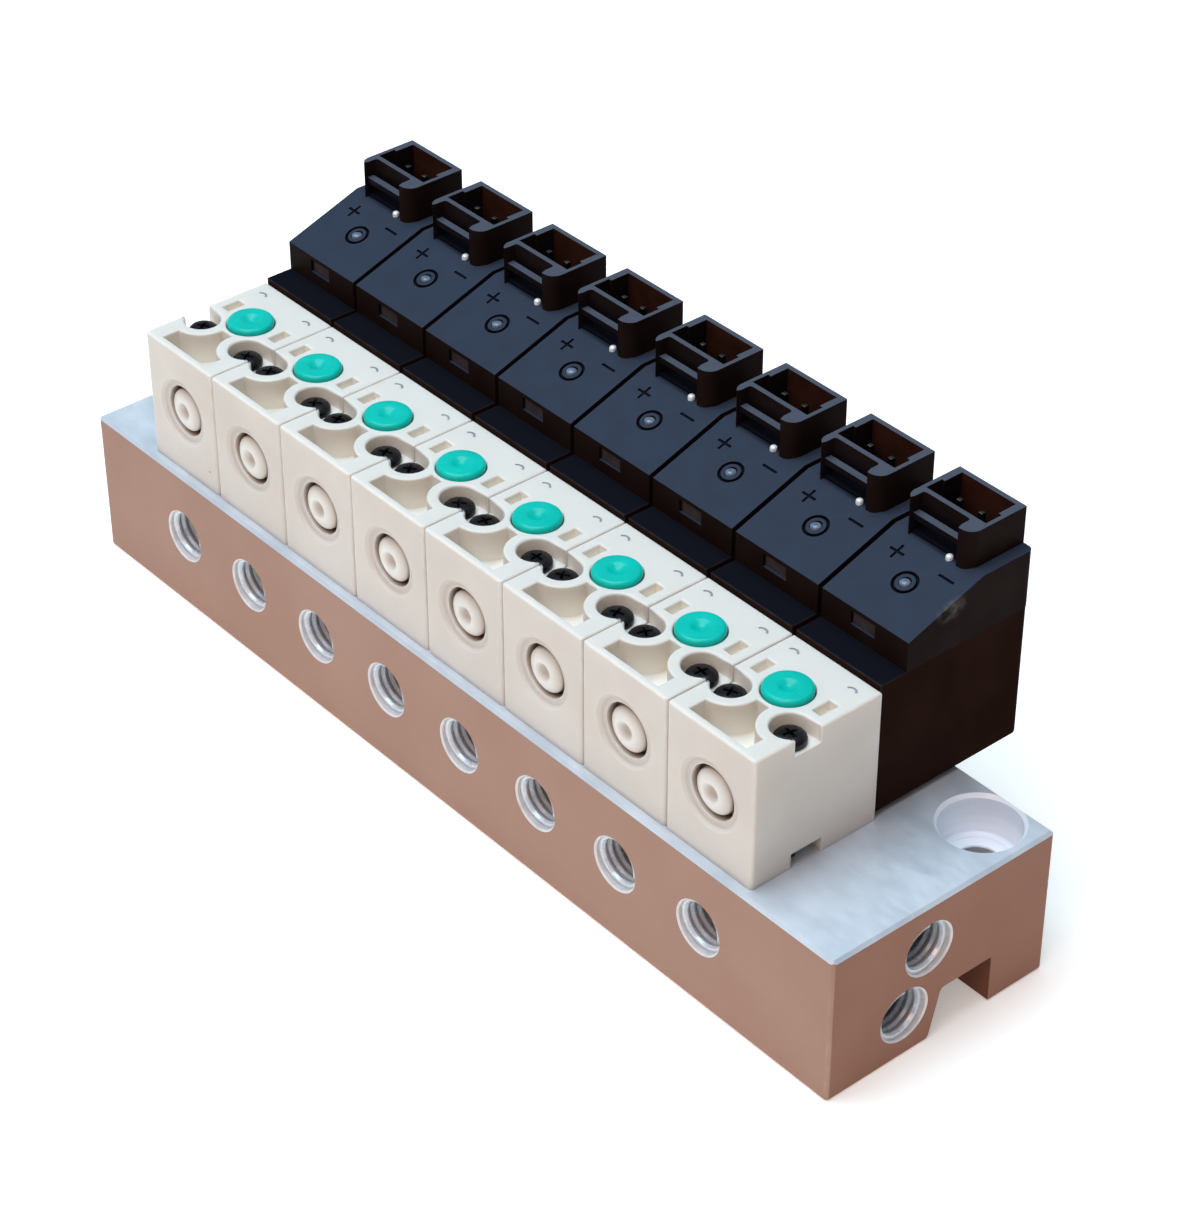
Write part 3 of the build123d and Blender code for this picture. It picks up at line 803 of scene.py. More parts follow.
tools.append(turned(chamber, "Y", (0, axis_z), 32))
dish = [(0, -1), (dish_radius + 0.2, -1), (dish_radius + 0.05, -0.02), (dish_radius - 0.05, 0.06)]
dish += [(dish_radius - 0.2, 0.2), (dish_radius - 0.36, dish_depth - 0.03)]
dish += [(dish_radius - 0.5, dish_depth), (plug_bore + 0.2, dish_depth)]
dish += [(plug_bore + 0.06, dish_depth + 0.05), (plug_bore, dish_depth + 0.2)]
dish += [(plug_bore, 1.5), (0, 1.5)]
dish = [(radius, body_front + sunk) for radius, sunk in dish]
tools.append(turned(dish, "Y", (0, plug_z), 64))
gasket_y = (body_front + 1.2, body_front + 11.0)
tools.append(slab((-1.8, 1.8), gasket_y, (base_high.z - 1, base_high.z + 0.8)))


def body_edge(middle, along, convex):
    """Radius of each edge of a valve body's moulding."""
    outside = abs(abs(middle.x) - body_half) < 0.01
    in_front = abs(middle.y - body_front) < 0.01
    behind = abs(middle.y - body_high.y) < 0.01
    on_top = middle.z > body_top - 0.01
    near_mark = middle.y > mark_y - 0.1 and not outside and not behind
    if near_mark or middle.z < base_high.z + 1.6:
        return 0
    if outside and in_front:
        return 0.35
    if outside and behind:
        return 0.15
    if on_top and (outside or in_front or behind):
        return 0.26
    from_seat = Vector((abs(middle.x), middle.y)) - Vector((seat_x, seat_y))
    if on_top:
        return 0.26 if from_seat.length < seat_radius + 0.1 else 0.18
    deep_inside = middle.z < body_top - pocket_depth - 0.1 and not outside
    return 0 if deep_inside or in_front or behind else 0.12


blank = slab((-body_half, body_half), (body_front, body_high.y), (base_high.z, body_top))
moulding = eased(worked(blank, tools), body_edge, steps=3)


def plug_gap_depth(place):
    """How much painted shade a point takes: its depth in the bore round the front plug, and a
    little in the dish around it.
    """
    across = math.hypot(place.x, place.z - plug_z)
    if across > dish_radius - 0.3 or place.y > body_front + 2:
        return 0
    return place.y - body_front - dish_depth if across < plug_bore + 0.1 else 0.1


def pocket_place_depth(place):
    """Depth of a point in the pocket, the screw seats and the slots, below the body's top; there
    the ivory is painted lighter, as painted light.
    """
    across = abs(place.x) < body_half - 0.36 and body_front + 0.6 < place.y < body_front + 10.2
    in_well = math.hypot(place.x, place.y - button_y) < button_radius + 0.2
    sunk = body_top - place.z
    return sunk if across and not in_well and 0.15 < sunk < pocket_depth + 0.2 else 0


mark_edges_for_wear_and_highlight(moulding)
moulding = smoothed(moulding)
mark_depth(moulding, plug_gap_depth, 0.7)
mark_depth(moulding, pocket_place_depth, 0.8, "inside")
first_front = (valve_xs[0] + 3.93, body_front, 17.1)
# The ivory's tops and pockets are painted lighter as painted light, and the bore round each plug
# darker as painted shade.
ivory = finish(
    "ivory_moulding", ("CEC5BB", "D4CCC3"), 9.0, (0.42, 0.54), shine=0.4,
    grain=(0.18, 0.003), edge_wear_and_highlight=("E8E3DB", 0.6), deep="74543E", painted_top_light="DAD5CD",
    inside="ECE6DB",
    spots=[(first_front, (0.14, 0.2, 0.12), 3.0, "3A3836", 1.0)],
)
# The small arcs behind the seats take a grey tone, partly the mark itself and partly painted shade
# in their shallow grooves.
mark_grey = finish(
    "marked_ivory", ("85898E", "9A9DA1"), 1.5, (0.5, 0.6), shine=0.3, grain=(0.15, 0.002),
)
depth_light = ivory.node_tree.nodes["Principled BSDF"].inputs
depth_light["Subsurface Weight"].default_value = 0.5
depth_light["Subsurface Radius"].default_value = (1.0, 0.85, 0.7)
depth_light["Subsurface Scale"].default_value = 0.0015


def at_valves(name, mesh, materials, bodies, nodes):
    """One copy of a drawn mesh at each valve, riding its own body."""
    for number, x in enumerate(valve_xs, 1):
        copy = mesh.copy()
        copy.transform(Matrix.Translation((x, 0, 0)))
        replaced = [node.format(number) for node in nodes]
        finished(f"{name}_{number}", copy, materials, bodies.format(number), replaced)


at_valves(
    "body_moulding", moulding, [ivory, mark_grey], "island", ["valve_body_{}"],
)

# Front plugs
# A round ivory plug closes the bore in the front of each body. It has a raised ring and a
# small moulding dimple, and sits a little below the dish around it.

plug_radius = 2.1
plug_face = body_front + 0.12
plug_shape = [
    (0, 1.38), (plug_radius - 0.2, 1.38), (plug_radius, 1.2),
    (2.1, 0.62), (2.08, 0.5), (2.02, 0.4), (1.92, 0.31), (1.78, 0.22), (1.6, 0.14), (1.4, 0.07),
    (1.2, 0.02), (1.02, 0.0), (0.9, 0.04), (0.78, 0.13), (0.64, 0.29), (0.48, 0.43), (0.32, 0.52),
    (0.16, 0.55), (0, 0.55),
]
plug_profile = [(radius, plug_face + sink) for radius, sink in plug_shape]


def row_tree():
    """A row of groups of pieces along X, each piece turned by chance about Z."""
    tree, given, result = new_tree(
        "valve_row",
        [
            ("Valves", "NodeSocketInt", 8),
            ("Pitch", "NodeSocketFloat", 10.5),
            ("First", "NodeSocketVector", (0, 0, 0)),
            ("Each", "NodeSocketInt", 1),
            ("Spread", "NodeSocketFloat", 0.0),
            ("Turn", "NodeSocketFloat", 0.0),
            ("Seed", "NodeSocketInt", 3),
            ("Finish", "NodeSocketMaterial", None),
        ],
    )
    put = given.outputs
    step = add(tree, "ShaderNodeCombineXYZ", {"X": put["Pitch"]})
    line = add(
        tree, "GeometryNodeMeshLine",
        {"Count": put["Valves"], "Start Location": put["First"], "Offset": step.outputs[0]},
        mode="OFFSET",
    )
    gap = add(tree, "ShaderNodeCombineXYZ", {"X": put["Spread"]})
    spaces = add(tree, "ShaderNodeMath", {0: put["Each"]}, {1: 1.0}, operation="SUBTRACT")
    links = {0: spaces.outputs[0], 1: put["Spread"]}
    reach = add(tree, "ShaderNodeMath", links, operation="MULTIPLY")
    half = add(tree, "ShaderNodeMath", {0: reach.outputs[0]}, {1: -0.5}, operation="MULTIPLY")
    start = add(tree, "ShaderNodeCombineXYZ", {"X": half.outputs[0]})
    group = add(
        tree, "GeometryNodeMeshLine",
        {"Count": put["Each"], "Start Location": start.outputs[0], "Offset": gap.outputs[0]},
        mode="OFFSET",
    )
    links = {"Points": line.outputs[0], "Instance": group.outputs[0]}
    groups = add(tree, "GeometryNodeInstanceOnPoints", links)
    places = add(tree, "GeometryNodeRealizeInstances", {"Geometry": groups.outputs[0]})
    most = add(tree, "ShaderNodeCombineXYZ", {"Z": put["Turn"]})
    chance = add(tree, "FunctionNodeRandomValue", {"Seed": put["Seed"]}, data_type="FLOAT_VECTOR")
    tree.links.new(most.outputs[0], chance.inputs[1])
    placed = add(
        tree, "GeometryNodeInstanceOnPoints",
        {"Points": places.outputs[0], "Instance": put["Geometry"], "Rotation": chance.outputs[0]},
    )
    return closed(tree, placed, given, result)


row = row_tree()
pitch = valve_xs[1] - valve_xs[0]


def in_row(
    name, mesh, material, nodes, place=(0, 0, 0), each=1, spread=0.0, turn=0.0, seed=3,
):
    """A group of like pieces on the island, repeated at every valve."""
    first = (valve_xs[0] + place[0], place[1], place[2])
    values = {
        "Valves": len(valve_xs), "Pitch": pitch, "First": first, "Each": each, "Spread": spread,
        "Turn": turn, "Seed": seed, "Finish": material,
    }
    return finished(name, grown(mesh, row, values), [material], "island", nodes)


def turned_mesh(profile, axis, centre, steps=48, sharp=50, hollow=False):
    """Turned shape ready to be placed, with its edges marked for rubbing and painted highlight."""
    mesh = as_mesh(turned(profile, axis, centre, steps, hollow=hollow))
    mark_edges_for_wear_and_highlight(mesh)
    return smoothed(mesh, sharp)


plug_ivory = finish(
    "plug_moulding", ("DDD7CE", "E3DED6"), 4.0, (0.3, 0.4), shine=0.5,
    grain=(0.15, 0.002), edge_wear_and_highlight=("ECE9E3", 0.5), deep="A3917F",
)
plug = turned_mesh(plug_profile, "Y", (0, plug_z), 56)
# The plug darkens towards its dimple and its back, as painted shade.
mark_depth(plug, lambda place: place.y - plug_face, 0.8)
in_row("plugs", plug, plug_ivory, ["front_plugs"])

# Armatures
# A ground iron plunger slides in each bobbin. Its thin nose passes through the valve's seat and
# its collar carries the return spring; it is pulled back when the coil is switched on.

iron = finish(
    "ground_iron", ("8E9093", "AEB0B2"), 2.5, (0.22, 0.36), metallic=1.0, grain=(0.12, 0.0015),
    edge_wear_and_highlight=("D8DADB", 0.5), stretch=(6, 0.4, 6),
)
armature_low, armature_high = span("armature_1")
collar_rear = span("armature_springs")[0].y
spigot_front = span("armature_springs")[1].y
nose_end = armature_low.y + 2.05
front, rear = armature_low.y, armature_high.y
armature_profile = [
    (0, front), (0.65, front), (0.8, front + 0.15), (0.8, nose_end), (1.7, nose_end),
    (1.8, nose_end + 0.1), (1.8, collar_rear - 0.1), (1.7, collar_rear), (1.5, collar_rear),
    (1.5, rear - 0.2), (1.35, rear), (0, rear),
]
at_valves(
    "iron_plunger", turned_mesh(armature_profile, "Y", (0, axis_z), 32), [iron], "plunger_{}",
    ["armature_{}"],
)

# Armature springs
# A steel wire spring round the front of each armature stands against the nose of the bobbin
# and pushes the armature on to its seat. It shortens as the armature is pulled back.

spring_steel = finish(
    "drawn_steel", ("9A9CA0", "C2C4C8"), 1.0, (0.2, 0.32), metallic=1.0,
    grain=(0.2, 0.001), edge_wear_and_highlight=("E8E8EA", 0.4),
)


def wound_spring(name, seat, radius, wire, length, turns, turn, node):
    """Wire spring that starts at its seat and is turned to point along its travel."""
    coil = grown(points([seat]), helix, {
        "Radius": radius, "Pitch": (length - 2 * wire) / turns, "Turns": turns,
        "Thickness": wire, "Sides": 6, "Steps": 20, "Turned": turn, "Finish": spring_steel,
    })
    mark_edges_for_wear_and_highlight(coil)
    coil.shade_smooth()
    return finished(name, coil, [spring_steel], "island", [node])


armature_wire = 0.11
length = spigot_front - collar_rear
for number, x in enumerate(valve_xs, 1):
    spring = wound_spring(
        f"armature_spring_{number}", (x, collar_rear + armature_wire, axis_z), 1.66,
        armature_wire, length, 4.0, (-quarter, 0, 0), "armature_springs",
    )
    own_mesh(spring)

# Bobbins and windings
# A moulded spool with square flanges guides each armature in its bore and carries the winding,
# many layers of fine enamelled copper wire laid side by side.

bobbin_natural = finish(
    "bobbin_natural", ("C9C3B4", "D6D1C4"), 3.0, (0.4, 0.55), shine=0.4,
    grain=(0.2, 0.003), edge_wear_and_highlight=("E9E5DB", 0.5),
)
spools = from_frame("bobbins", 0.1)
finished("spools", spools, [bobbin_natural], "island", ["bobbins"])
copper = finish(
    "enamelled_copper", ("8A3F1C", "B9622F"), 1.2, (0.22, 0.34), metallic=0.8, shine=0.6,
    grain=(0.15, 0.001), edge_wear_and_highlight=("E09A63", 0.5),
)
winding_low, winding_high = span("coil_windings")
winding_radius = (winding_high.z - winding_low.z) / 2
wire_pitch = 0.3
layers = round((winding_high.y - winding_low.y) / wire_pitch)
winding_profile = [(2.02, winding_low.y + 0.02)]
for layer in range(layers):
    start = winding_low.y + 0.02 + layer * wire_pitch
    for share, radius in ((0.05, -0.12), (0.25, -0.02), (0.5, 0.0), (0.75, -0.02)):
        winding_profile.append((winding_radius + radius - 0.02, start + share * wire_pitch))
winding_profile += [(winding_radius - 0.14, winding_high.y - 0.02), (2.02, winding_high.y - 0.02)]
in_row(
    "windings", turned_mesh(winding_profile, "Y", (0, axis_z), 28, sharp=80, hollow=True), copper,
    ["coil_windings"],
)

# Pole pieces and yokes
# The iron that closes the magnet's path: a fixed core pressed into the rear of each bobbin, and
# a bent strap, zinc plated, that grips both of its ends.

plated = finish(
    "zinc_plated", ("8C9094", "B2B5B6"), 2.0, (0.26, 0.42), metallic=0.95,
    grain=(0.2, 0.002), edge_wear_and_highlight=("DCDEDF", 0.5),
)
pole_low, pole_high = span("pole_pieces")
front, rear = pole_low.y, pole_high.y
pole_profile = [(0, front), (1.35, front), (1.5, front + 0.15)]
pole_profile += [(1.5, rear - 0.15), (1.35, rear), (0, rear)]
in_row("cores", turned_mesh(pole_profile, "Y", (0, axis_z), 32), iron, ["pole_pieces"])
finished("straps", from_frame("yokes", 0.12), [plated], "island", ["yokes"])

# Body screws
# Black pan-head machine screws with a cross recess, two through each body into the base.
# They stand at different angles, as they were driven until tight.

screw_low = span("body_screws")[0]
seat_z = body_top - seat_depth
head_radius = 1.44
head_height = 0.95
dome = ((0, 0), (0.5, 0.01), (0.95, 0.06), (1.22, 0.18), (1.38, 0.36), (head_radius, 0.55))
head = [(radius, head_height - fall) for radius, fall in dome]
head += [(head_radius, 0.1), (head_radius - 0.1, 0), (shank_radius, 0)]
shank_end = screw_low.z - seat_z
thread_top = shank_end + 9.0
place = thread_top
while place > shank_end + 0.6:
    head += [(shank_radius, place), (shank_radius - 0.14, place - 0.2)]
    place -= 0.4
head += [(shank_radius - 0.1, shank_end + 0.3), (0.45, shank_end), (0, shank_end)]
recess = [(-0.95, -0.17), (-0.2, -0.2), (-0.17, -0.95), (0.17, -0.95), (0.2, -0.2), (0.95, -0.17)]
recess += [(-x, -y) for x, y in recess]
cross = prism(recess, "Z", 0.2, head_height + 0.5)
for vert in cross.verts:
    if vert.co.z < 0.3:
        vert.co.x *= 0.3
        vert.co.y *= 0.3
screw = worked(turned(head, "Z", (0, 0), 28), [cross])
mark_edges_for_wear_and_highlight(screw)
screw = smoothed(screw, 32)
black_oxide = finish(
    "black_oxide", ("08080A", "121114"), 1.5, (0.2, 0.34), metallic=0.1, shine=0.25,
    grain=(0.12, 0.006), edge_wear_and_highlight=("3A383C", 0.3),
)
in_row(
    "screws", screw, black_oxide, ["body_screws"],
    place=(0, seat_y, seat_z), each=2, spread=2 * seat_x, turn=1.5, seed=11,
)

# Override buttons
# Round push buttons in glossy green blue plastic. The rim is rounded, the middle is dished
# for a screwdriver's tip, and the stem below ends in front of the armature's collar.

button_low, button_high = span("override_button_1")
cap_bottom = span("button_springs")[1].z
crown = button_high.z
tip = button_low.z
shoulder = crown - 0.42
rim_round = 0.36
button_profile = [
    (0, tip), (0.65, tip), (0.8, tip + 0.15), (0.8, cap_bottom), (button_radius - 0.1, cap_bottom),
    (button_radius, cap_bottom + 0.1), (button_radius, shoulder),
]
for step in range(1, 6):
    angle = math.radians(18 * step)
    inward = rim_round * (1 - math.cos(angle))
    button_profile.append((button_radius - inward, shoulder + rim_round * math.sin(angle)))
button_profile += [(1.55, crown - 0.015), (1.25, crown)]
for step in range(1, 9):
    share = step / 8
    button_profile.append((1.15 * (1 - share), crown - 0.36 * (1 - math.cos(math.pi * share)) / 2))
button = turned_mesh(button_profile, "Z", (0, button_y), 56)
teal = finish(
    "button_teal", ("00B2A2", "00BBAB"), 3.0, (0.2, 0.3), shine=0.2,
    grain=(0.2, 0.001), edge_wear_and_highlight=("1CC9B8", 0.4),
)
at_valves("button_cap", button, [teal], "button_{}", ["override_button_{}"])

# Button springs
# A short spring of thin steel wire lifts each button. It is seen only when a button is out,
# and it shortens as the button goes down.

button_wire = 0.1
height = cap_bottom - button_floor
for number, x in enumerate(valve_xs, 1):
    spring = wound_spring(
        f"button_spring_{number}", (x, button_y, button_floor + button_wire), 1.75, button_wire,
        height, 3.0, (0, 0, 0), "button_springs",
    )
    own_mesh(spring)

# Coil cases
# Eight black moulded boxes, open at the top under the cover, with rounded corners behind.
# Each holds the coil and clips against the rear of its valve body.

case_low, case_high = span("coil_case_1")
case_half = (case_high.x - case_low.x) / 2
case_front = case_low.y
case_rear = case_high.y
case_round = 0.7
case_wall = 0.6
case_plan = [(-case_half, case_front), (case_half, case_front)]
case_plan += arc((case_half - case_round, case_rear - case_round), case_round, 0, 90, 6)
case_plan += arc((-case_half + case_round, case_rear - case_round), case_round, 90, 180, 6)
board_z = case_high.z - 0.8
hollow_y = (case_front + case_wall, case_rear - case_wall)
inner_half = case_half - case_wall
tools = [
    slab((-inner_half + 0.2, inner_half - 0.2), hollow_y, (case_low.z + case_wall, board_z + 0.1)),
    slab((-inner_half, inner_half), (case_front + 3.4, hollow_y[1]), (board_z, case_high.z + 1)),
    turned(rod(chamber_radius, case_front - 1, case_front + 1), "Y", (0, axis_z), 32),
]


def case_edge(middle, along, convex):
    """Radius of each outer edge of a coil case."""
    beside = abs(abs(middle.x) - case_half) < 0.75
    in_front = middle.y < case_front + 0.01
    if not convex or not (beside or in_front or middle.y > case_rear - 0.75):
        return 0
    if middle.z > case_high.z - 0.01:
        return 0.14 if middle.y < case_front + 3.4 else 0.07
    if middle.z < case_low.z + 0.01:
        return 0.25
    upright = abs(along.z) > 0.9 and in_front and abs(middle.x) > case_half - 0.01
    return 0.12 if upright else 0


case = worked(prism(case_plan, "Z", case_low.z, case_high.z), tools)
case = eased(case, case_edge, steps=3)
mark_edges_for_wear_and_highlight(case)
case = smoothed(case)
# The case's upward faces take a bluer tone, a painted sheen of the light from overhead.
black_case = finish(
    "black_case", ("241612", "2A1B17"), 6.0, (0.38, 0.5), shine=0.0, grain=(0.16, 0.003),
    edge_wear_and_highlight=("3E3A3A", 0.5), painted_top_light="11131A",
)
at_valves("case_moulding", case, [black_case], "island", ["coil_case_{}"])

# Circuit boards
# A small green board lies on the shoulders inside each case, under the cover. It carries the
# lamp and the two contact pins.

laminate = finish(
    "board_green", ("123B24", "1C4E31"), 1.6, (0.3, 0.45), shine=0.5,
    grain=(0.3, 0.004), edge_wear_and_highlight=("6B7A4A", 0.5),
)
boards = from_frame("circuit_boards", 0.05)
finished("lamp_boards", boards, [laminate], "island", ["circuit_boards"])

# Coil covers
# A black sloping cap on each coil, with a ring round the indicator, moulded plus and minus
# marks, and the plug socket with its latch arms, cross bar and catch standing on the rear.

cover_low, cover_high = span("coil_cover_1")
case_top = cover_low.z
rim_z = cover_high.z
ledge = 2.8
step_top = case_top + 2.9
cover_top = step_top + 2.8
slope_rear = 11.0
tilt = math.atan2(cover_top - step_top, slope_rear - ledge)


def slope_height(back):
    """Height of the slope at a distance behind the front of the coil."""
    return step_top + (back - ledge) * math.tan(tilt)


def cap(half, front, rear, bottom, sink):
    """Sloping cap solid, its top a little below the cover's own."""
    side = [(case_front + front, bottom), (case_front + front, slope_height(front) - sink)]
    side += [(case_front + slope_rear, cover_top - sink), (case_front + rear, cover_top - sink)]
    side += [(case_front + rear, bottom)]
    return prism(side, "X", -half, half)


socket_half = 3.8
socket_front = case_front + 10.5
cavity_front = case_front + 12.6
rib_front = case_front + 14.4
cavity_rear = case_rear - 0.5
wide = socket_half - 0.4
narrow = wide - 0.35
arm_left = -socket_half + 0.7
arm_right = socket_half - 1.6
bar_front = cavity_front - 0.5
corner_radius = 1.15

plan = arc((-socket_half + corner_radius, socket_front + corner_radius), corner_radius, 180, 270, 8)
plan += arc((socket_half - corner_radius, socket_front + corner_radius), corner_radius, 270, 360, 8)
plan += [(socket_half, case_rear), (-socket_half, case_rear)]
socket = prism(plan, "Z", case_top + 1, rim_z)
cavity = [(-wide, cavity_front), (wide, cavity_front), (wide, rib_front), (narrow, rib_front)]
cavity += [(narrow, cavity_rear), (-narrow, cavity_rear), (-narrow, rib_front), (-wide, rib_front)]
mouth = arc((arm_left + 0.3, bar_front - 0.3), 0.3, 180, 90, 4)
mouth += arc((arm_right - 0.3, bar_front - 0.3), 0.3, 90, 0, 4)
mouth += [(arm_right, socket_front + 0.55), (arm_right + 0.12, socket_front + 0.2)]
mouth += [(arm_right + 0.45, socket_front - 1), (arm_left - 0.3, socket_front - 1)]
mouth += [(arm_left - 0.08, socket_front + 0.3), (arm_left, socket_front + 0.6)]
wells = [prism(cavity, "Z", cover_top, rim_z + 1), prism(mouth, "Z", case_top - 1, rim_z + 1)]
socket = worked(socket, wells)
between = (arm_left - 0.2, arm_right + 0.2)
catch = slab(between, (case_front + 10.95, case_front + 11.65), (rim_z - 2.2, rim_z - 1.6))
sill = slab(between, (case_front + 11.0, bar_front + 0.2), (case_top + 3, cover_top + 0.25))
shell = cap(case_half, ledge, case_rear - case_front, case_top, 0)
shell = worked(shell, [socket, catch, sill], "UNION")

slope_turn = Matrix.Rotation(tilt, 4, "X")


def on_slope(shape, x, back):
    """Moves a shape drawn round the origin, facing up, on to the slope."""
    where = Matrix.Translation((x, case_front + back, slope_height(back))) @ slope_turn
    bmesh.ops.transform(shape, matrix=where, verts=shape.verts)
    return shape


def ring_groove(inside, outside, depth):
    """Cutter for a round groove with leaning walls."""
    profile = [(inside - 0.02, 0.2), (inside + 0.06, -depth)]
    profile += [(outside - 0.1, -depth), (outside + 0.02, 0.2)]
    return turned(profile, "Z", (0, 0), 40, hollow=True)


lens_x = 0.2
lens_back = 7.0
front_wall = ledge + case_wall
window_y = (case_front + ledge - 1, case_front + ledge + 0.3)
tools = [
    cap(inner_half, front_wall, case_rear - case_front - case_wall, case_top - 1, case_wall),
    slab((-1.6, 1.2), window_y, (step_top - 1.7, step_top - 0.4)),
    on_slope(ring_groove(0.88, 1.23, 0.3), lens_x, lens_back),
    on_slope(slab((-0.8, 0.8), (-0.13, 0.13), (-0.13, 0.5)), -2.7, 8.9),
    on_slope(slab((-0.13, 0.13), (-0.8, 0.8), (-0.13, 0.5)), -2.7, 8.9),
    on_slope(slab((-0.85, 0.85), (-0.13, 0.13), (-0.13, 0.5)), 2.75, 9.1),
    turned(rod(0.55, case_top + 1, 36), "Z", (lens_x, case_front + lens_back), 20),
    slab((-1.55, 1.55), (case_front + 14.1, case_front + 14.7), (case_top + 2, cover_top + 1)),
]
shell = worked(shell, tools)


def cover_edge(middle, along, convex):
    """Radius of each edge of a coil cover's skin."""
    rear = abs(middle.y - case_rear) < 0.01
    outside = abs(abs(middle.x) - case_half) < 0.01
    back = middle.y - case_front
    if middle.z < case_top + 0.05:
        return 0.07 if rear or outside else 0
    skin = slope_height(min(back, slope_rear))
    inside = back > front_wall - 0.05 and abs(middle.x) < inner_half + 0.05
    if not convex or (inside and middle.z < skin - 0.3):
        return 0
    in_corner = abs(middle.x) > case_half - 0.65 and back > case_rear - case_front - 0.65
    if outside or (in_corner and abs(along.z) < 0.1):
        return 0.09
    if rear or in_corner:
        return 0.12 if abs(along.z) < 0.1 else 0
    on_skin = abs(middle.z - skin) < 0.35
    if on_skin and back > ledge + 0.1 and middle.z < rim_z - 2.5:
        return 0
    if back < ledge + 0.4 and middle.z < step_top - 0.01:
        return 0
    return 0.13 if middle.z < rim_z - 0.01 else 0.1


def cover_depth(place):
    """How much painted shade a point takes: full in a mark or groove of the slope, growing down the
    inside of the socket.
    """
    back = place.y - case_front
    sunk = slope_height(min(back, slope_rear)) - place.z
    on_slope_area = ledge + 0.3 < back < slope_rear - 0.6 and abs(place.x) < case_half - 0.3
    if on_slope_area and 0.08 < sunk < 0.55:
        return 1
    in_socket = socket_front + 0.3 < place.y < case_rear - 0.4 and abs(place.x) < wide + 0.02
    if in_socket and place.z > cover_top - 0.5:
        return 1 - (place.z - cover_top) / (rim_z - cover_top)
    return 0


def rear_corner(middle, along, convex):
    """Radius of the two upright corners behind the cover."""
    upright = abs(along.z) > 0.99 and abs(middle.y - case_rear) < 0.01
    return 0.6 if upright and abs(abs(middle.x) - case_half) < 0.01 else 0


shell = eased(eased(shell, rear_corner, steps=6), cover_edge, steps=3)
mark_edges_for_wear_and_highlight(shell)
shell = smoothed(shell)
mark_depth(shell, cover_depth, 1)
# Slot 1 is a painted highlight on the socket's rim tops and the catch; slot 2 a lighter brown on
# the socket's rear inner wall, as painted light.
for polygon in shell.polygons:
    middle = polygon.center
    in_step = polygon.normal.y < -0.9 and abs(middle.y - case_front - ledge - 0.3) < 0.02
    if middle.z > rim_z - 0.16:
        polygon.material_index = 1
    elif abs(middle.z - (rim_z - 1.6)) < 0.02 and polygon.normal.z > 0.9 and middle.y < bar_front:
        polygon.material_index = 1
    elif polygon.normal.y < -0.9 and abs(middle.y - cavity_rear) < 0.02 and middle.z > cover_top:
        polygon.material_index = 2
    elif in_step and middle.z < step_top - 0.3:
        polygon.material_index = 3
scuff_place = (valve_xs[-1] + case_half, case_front + 7.6, step_top + 1.1)
side_scuff = (scuff_place, (0.6, 1.9, 1.3), 0.9, "6E6A66", 0.4)
# The cover's slope takes a blue-grey tone, a painted sheen of the light from overhead; its grooves
# and the socket's bottom a painted shade.
black_cover = finish(
    "black_cover", ("1B1210", "211715"), 5.0, (0.34, 0.46), shine=0.01, grain=(0.14, 0.003),
    edge_wear_and_highlight=("4A505A", 0.6), painted_top_light="323A48", deep="0E1018", spots=[side_scuff],
)
# A painted highlight for the socket's rim tops: the same black with a light blue-grey top tone.
rim_highlight = finish(
    "cover_rim_painted_highlight", ("1D1512", "241B17"), 2.0, (0.4, 0.5), shine=0.05, grain=(0.14, 0.004),
    edge_wear_and_highlight=("4A505A", 0.7), painted_top_light="4A4F5A",
)
# Painted light: the socket's rear inner wall takes a lighter brown than the cover's black.
lit_wall = finish(
    "socket_wall", ("2F1A13", "3C2119"), 2.5, (0.4, 0.5), shine=0.03,
    grain=(0.14, 0.004), edge_wear_and_highlight=("4A505A", 0.4),
)
step_panel = finish(
    "step_panel", ("3A3234", "453C3D"), 1.0, (0.4, 0.5), shine=0.03,
    grain=(0.14, 0.006), edge_wear_and_highlight=("4A505A", 0.4),
)
at_valves(
    "cover_moulding", shell, [black_cover, rim_highlight, lit_wall, step_panel], "island",
    ["coil_cover_{}"],
)

# Indicator lenses
# A clear rod carries the light of the lamp on the board up through the cover's slope.
# Only its small domed end shows.

lens_top = slope_height(lens_back) + 0.18
lens_profile = [(0, case_top), (0.5, case_top), (0.5, lens_top - 0.22)]
lens_profile += [(0.44, lens_top - 0.1), (0.3, lens_top - 0.03), (0.12, lens_top), (0, lens_top)]
lens_finish = finish(
    "clear_lens", ("455162", "67758A"), 0.8, (0.1, 0.2), shine=0.5,
    grain=(0.3, 0.0008), edge_wear_and_highlight=("9AA8B8", 0.3),
)
in_row(
    "lenses", turned_mesh(lens_profile, "Z", (lens_x, case_front + lens_back), 20), lens_finish,
    ["indicator_lenses"],
)

# Contact pins
# Two square tinned posts stand on the board in each socket, with chamfered tips; their dark
# tone is painted shade, as they stand deep in the socket. The bent foot of one shows at the
# sill of the socket's window, painted near white as a glint.

pin_low, pin_high = span("contact_pins")
pin_height = pin_high.z - pin_low.z


def pin_edge(middle, along, convex):
    """Radius of each edge of a pin, largest round its two ends."""
    return 0.12 if abs(middle.z) < 0.01 or middle.z > pin_height - 0.01 else 0.03


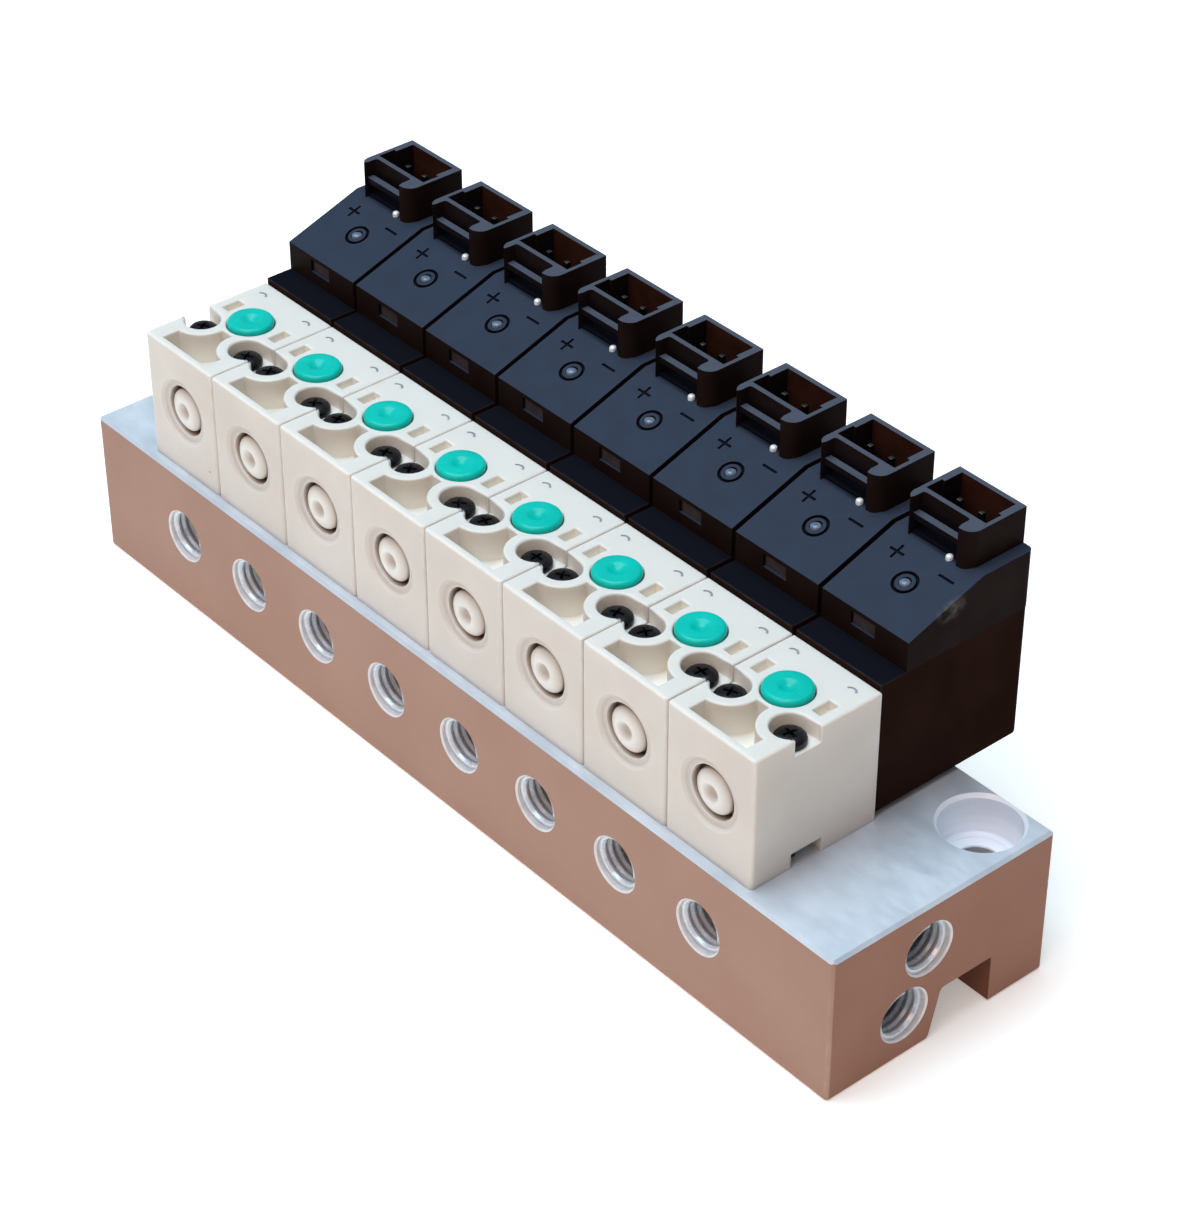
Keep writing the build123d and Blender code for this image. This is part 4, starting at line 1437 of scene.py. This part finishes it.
pin = eased(slab((-0.25, 0.25), (-0.25, 0.25), (0, pin_height)), pin_edge, steps=2)
mark_edges_for_wear_and_highlight(pin)
tinned = finish(
    "tin_pin_painted_shade", ("3B3936", "4C4A46"), 1.0, (0.35, 0.5), metallic=1.0,
    grain=(0.2, 0.001), edge_wear_and_highlight=("6A6862", 0.4),
)
in_row(
    "pins", smoothed(pin), tinned, ["contact_pins"],
    place=(0, (pin_low.y + pin_high.y) / 2, pin_low.z), each=2, spread=2.5,
)
foot_profile = [(0, -0.4), (0.34, -0.4), (0.34, 0.08), (0.3, 0.2), (0.2, 0.28), (0, 0.31)]
foot = turned_mesh(foot_profile, "Z", (1.4, socket_front + 0.28), 16)
tin_painted_glint = finish(
    "tin_painted_glint", ("DFE3E6", "F2F4F6"), 0.5, (0.2, 0.35), metallic=0.2, shine=0.8,
    grain=(0.2, 0.02), edge_wear_and_highlight=("FFFFFF", 0.5),
)
in_row("pin_feet", foot, tin_painted_glint, ["contact_pins"], place=(0, 0, cover_top))

# Studio
# A plain pale floor, a soft sky and four large soft lamps; the camera looks down on the
# right-hand front corner, as the object was seen.

floor_mesh = bpy.data.meshes.new("floor")
floor_mesh.from_pydata([(-3, -3, 0), (3, -3, 0), (3, 3, 0), (-3, 3, 0)], [], [(0, 1, 2, 3)])
floor_piece = in_scene("studio_floor", floor_mesh)
pale_floor = finish("floor_paint", ("F5F2ED", "F8F5F1"), 300.0, (0.7, 0.8), shine=0.1)
glow = pale_floor.node_tree.nodes["Principled BSDF"].inputs
glow["Emission Color"].default_value = (1, 0.99, 0.97, 1)
glow["Emission Strength"].default_value = 0.3
floor_mesh.materials.append(pale_floor)

world = bpy.data.worlds.new("studio_sky")
bpy.context.scene.world = world
world.use_nodes = True
sky = world.node_tree
toward = sky.nodes.new("ShaderNodeTexCoord")
parts = sky.nodes.new("ShaderNodeSeparateXYZ")
ramp = sky.nodes.new("ShaderNodeValToRGB")
ramp.color_ramp.elements[0].position = 0.0
ramp.color_ramp.elements[0].color = (0.74, 0.72, 0.70, 1)
ramp.color_ramp.elements[1].position = 0.6
ramp.color_ramp.elements[1].color = (0.80, 0.90, 1.0, 1)
sky.links.new(toward.outputs["Generated"], parts.inputs[0])
sky.links.new(parts.outputs["Z"], ramp.inputs[0])
sky.links.new(ramp.outputs[0], sky.nodes["Background"].inputs["Color"])
sky.nodes["Background"].inputs["Strength"].default_value = 0.24

centre = Vector((0, 0, 0.018))
for name, place, size, power, colour in (
    ("lamp_above", (-0.15, -0.1, 0.85), 0.7, 9.3, (0.68, 0.87, 1.0)),
    ("lamp_front", (0.3, -0.6, 0.7), 0.45, 2.4, (1.0, 0.60, 0.45)),
    ("lamp_side", (-0.35, -0.75, 0.45), 0.5, 0.3, (1.0, 0.95, 0.9)),
    ("lamp_right", (0.8, -0.1, 0.45), 0.5, 0.22, (0.85, 0.95, 1.0)),
):
    data = bpy.data.lights.new(name, "AREA")
    data.shape = "SQUARE"
    data.size = size
    data.energy = power
    data.color = colour
    lamp = in_scene(name, data)
    lamp.location = place
    lamp.rotation_mode = "QUATERNION"
    lamp.rotation_quaternion = (centre - Vector(place)).to_track_quat("-Z", "Y")

# The camera's place and turn follow from the object's known length, depth and heights
camera_data = bpy.data.cameras.new("camera")
camera_data.sensor_width = 36
camera_data.lens = 3394.02 * 36 / 1218
camera_data.clip_start = 0.01
camera_data.clip_end = 10
camera = in_scene("camera", camera_data)
turn = Vector((2.0375584, 0.9427202, -0.4785313))
seen = Matrix.Rotation(turn.length, 3, turn.normalized())
camera.matrix_world = Matrix.Translation((0.18993, -0.15718, 0.19353)) @ (
    seen.transposed() @ Matrix.Diagonal((1, -1, -1))
).to_4x4()
bpy.context.scene.camera = camera
bpy.context.scene.view_settings.view_transform = "Standard"

bpy.context.view_layer.update()
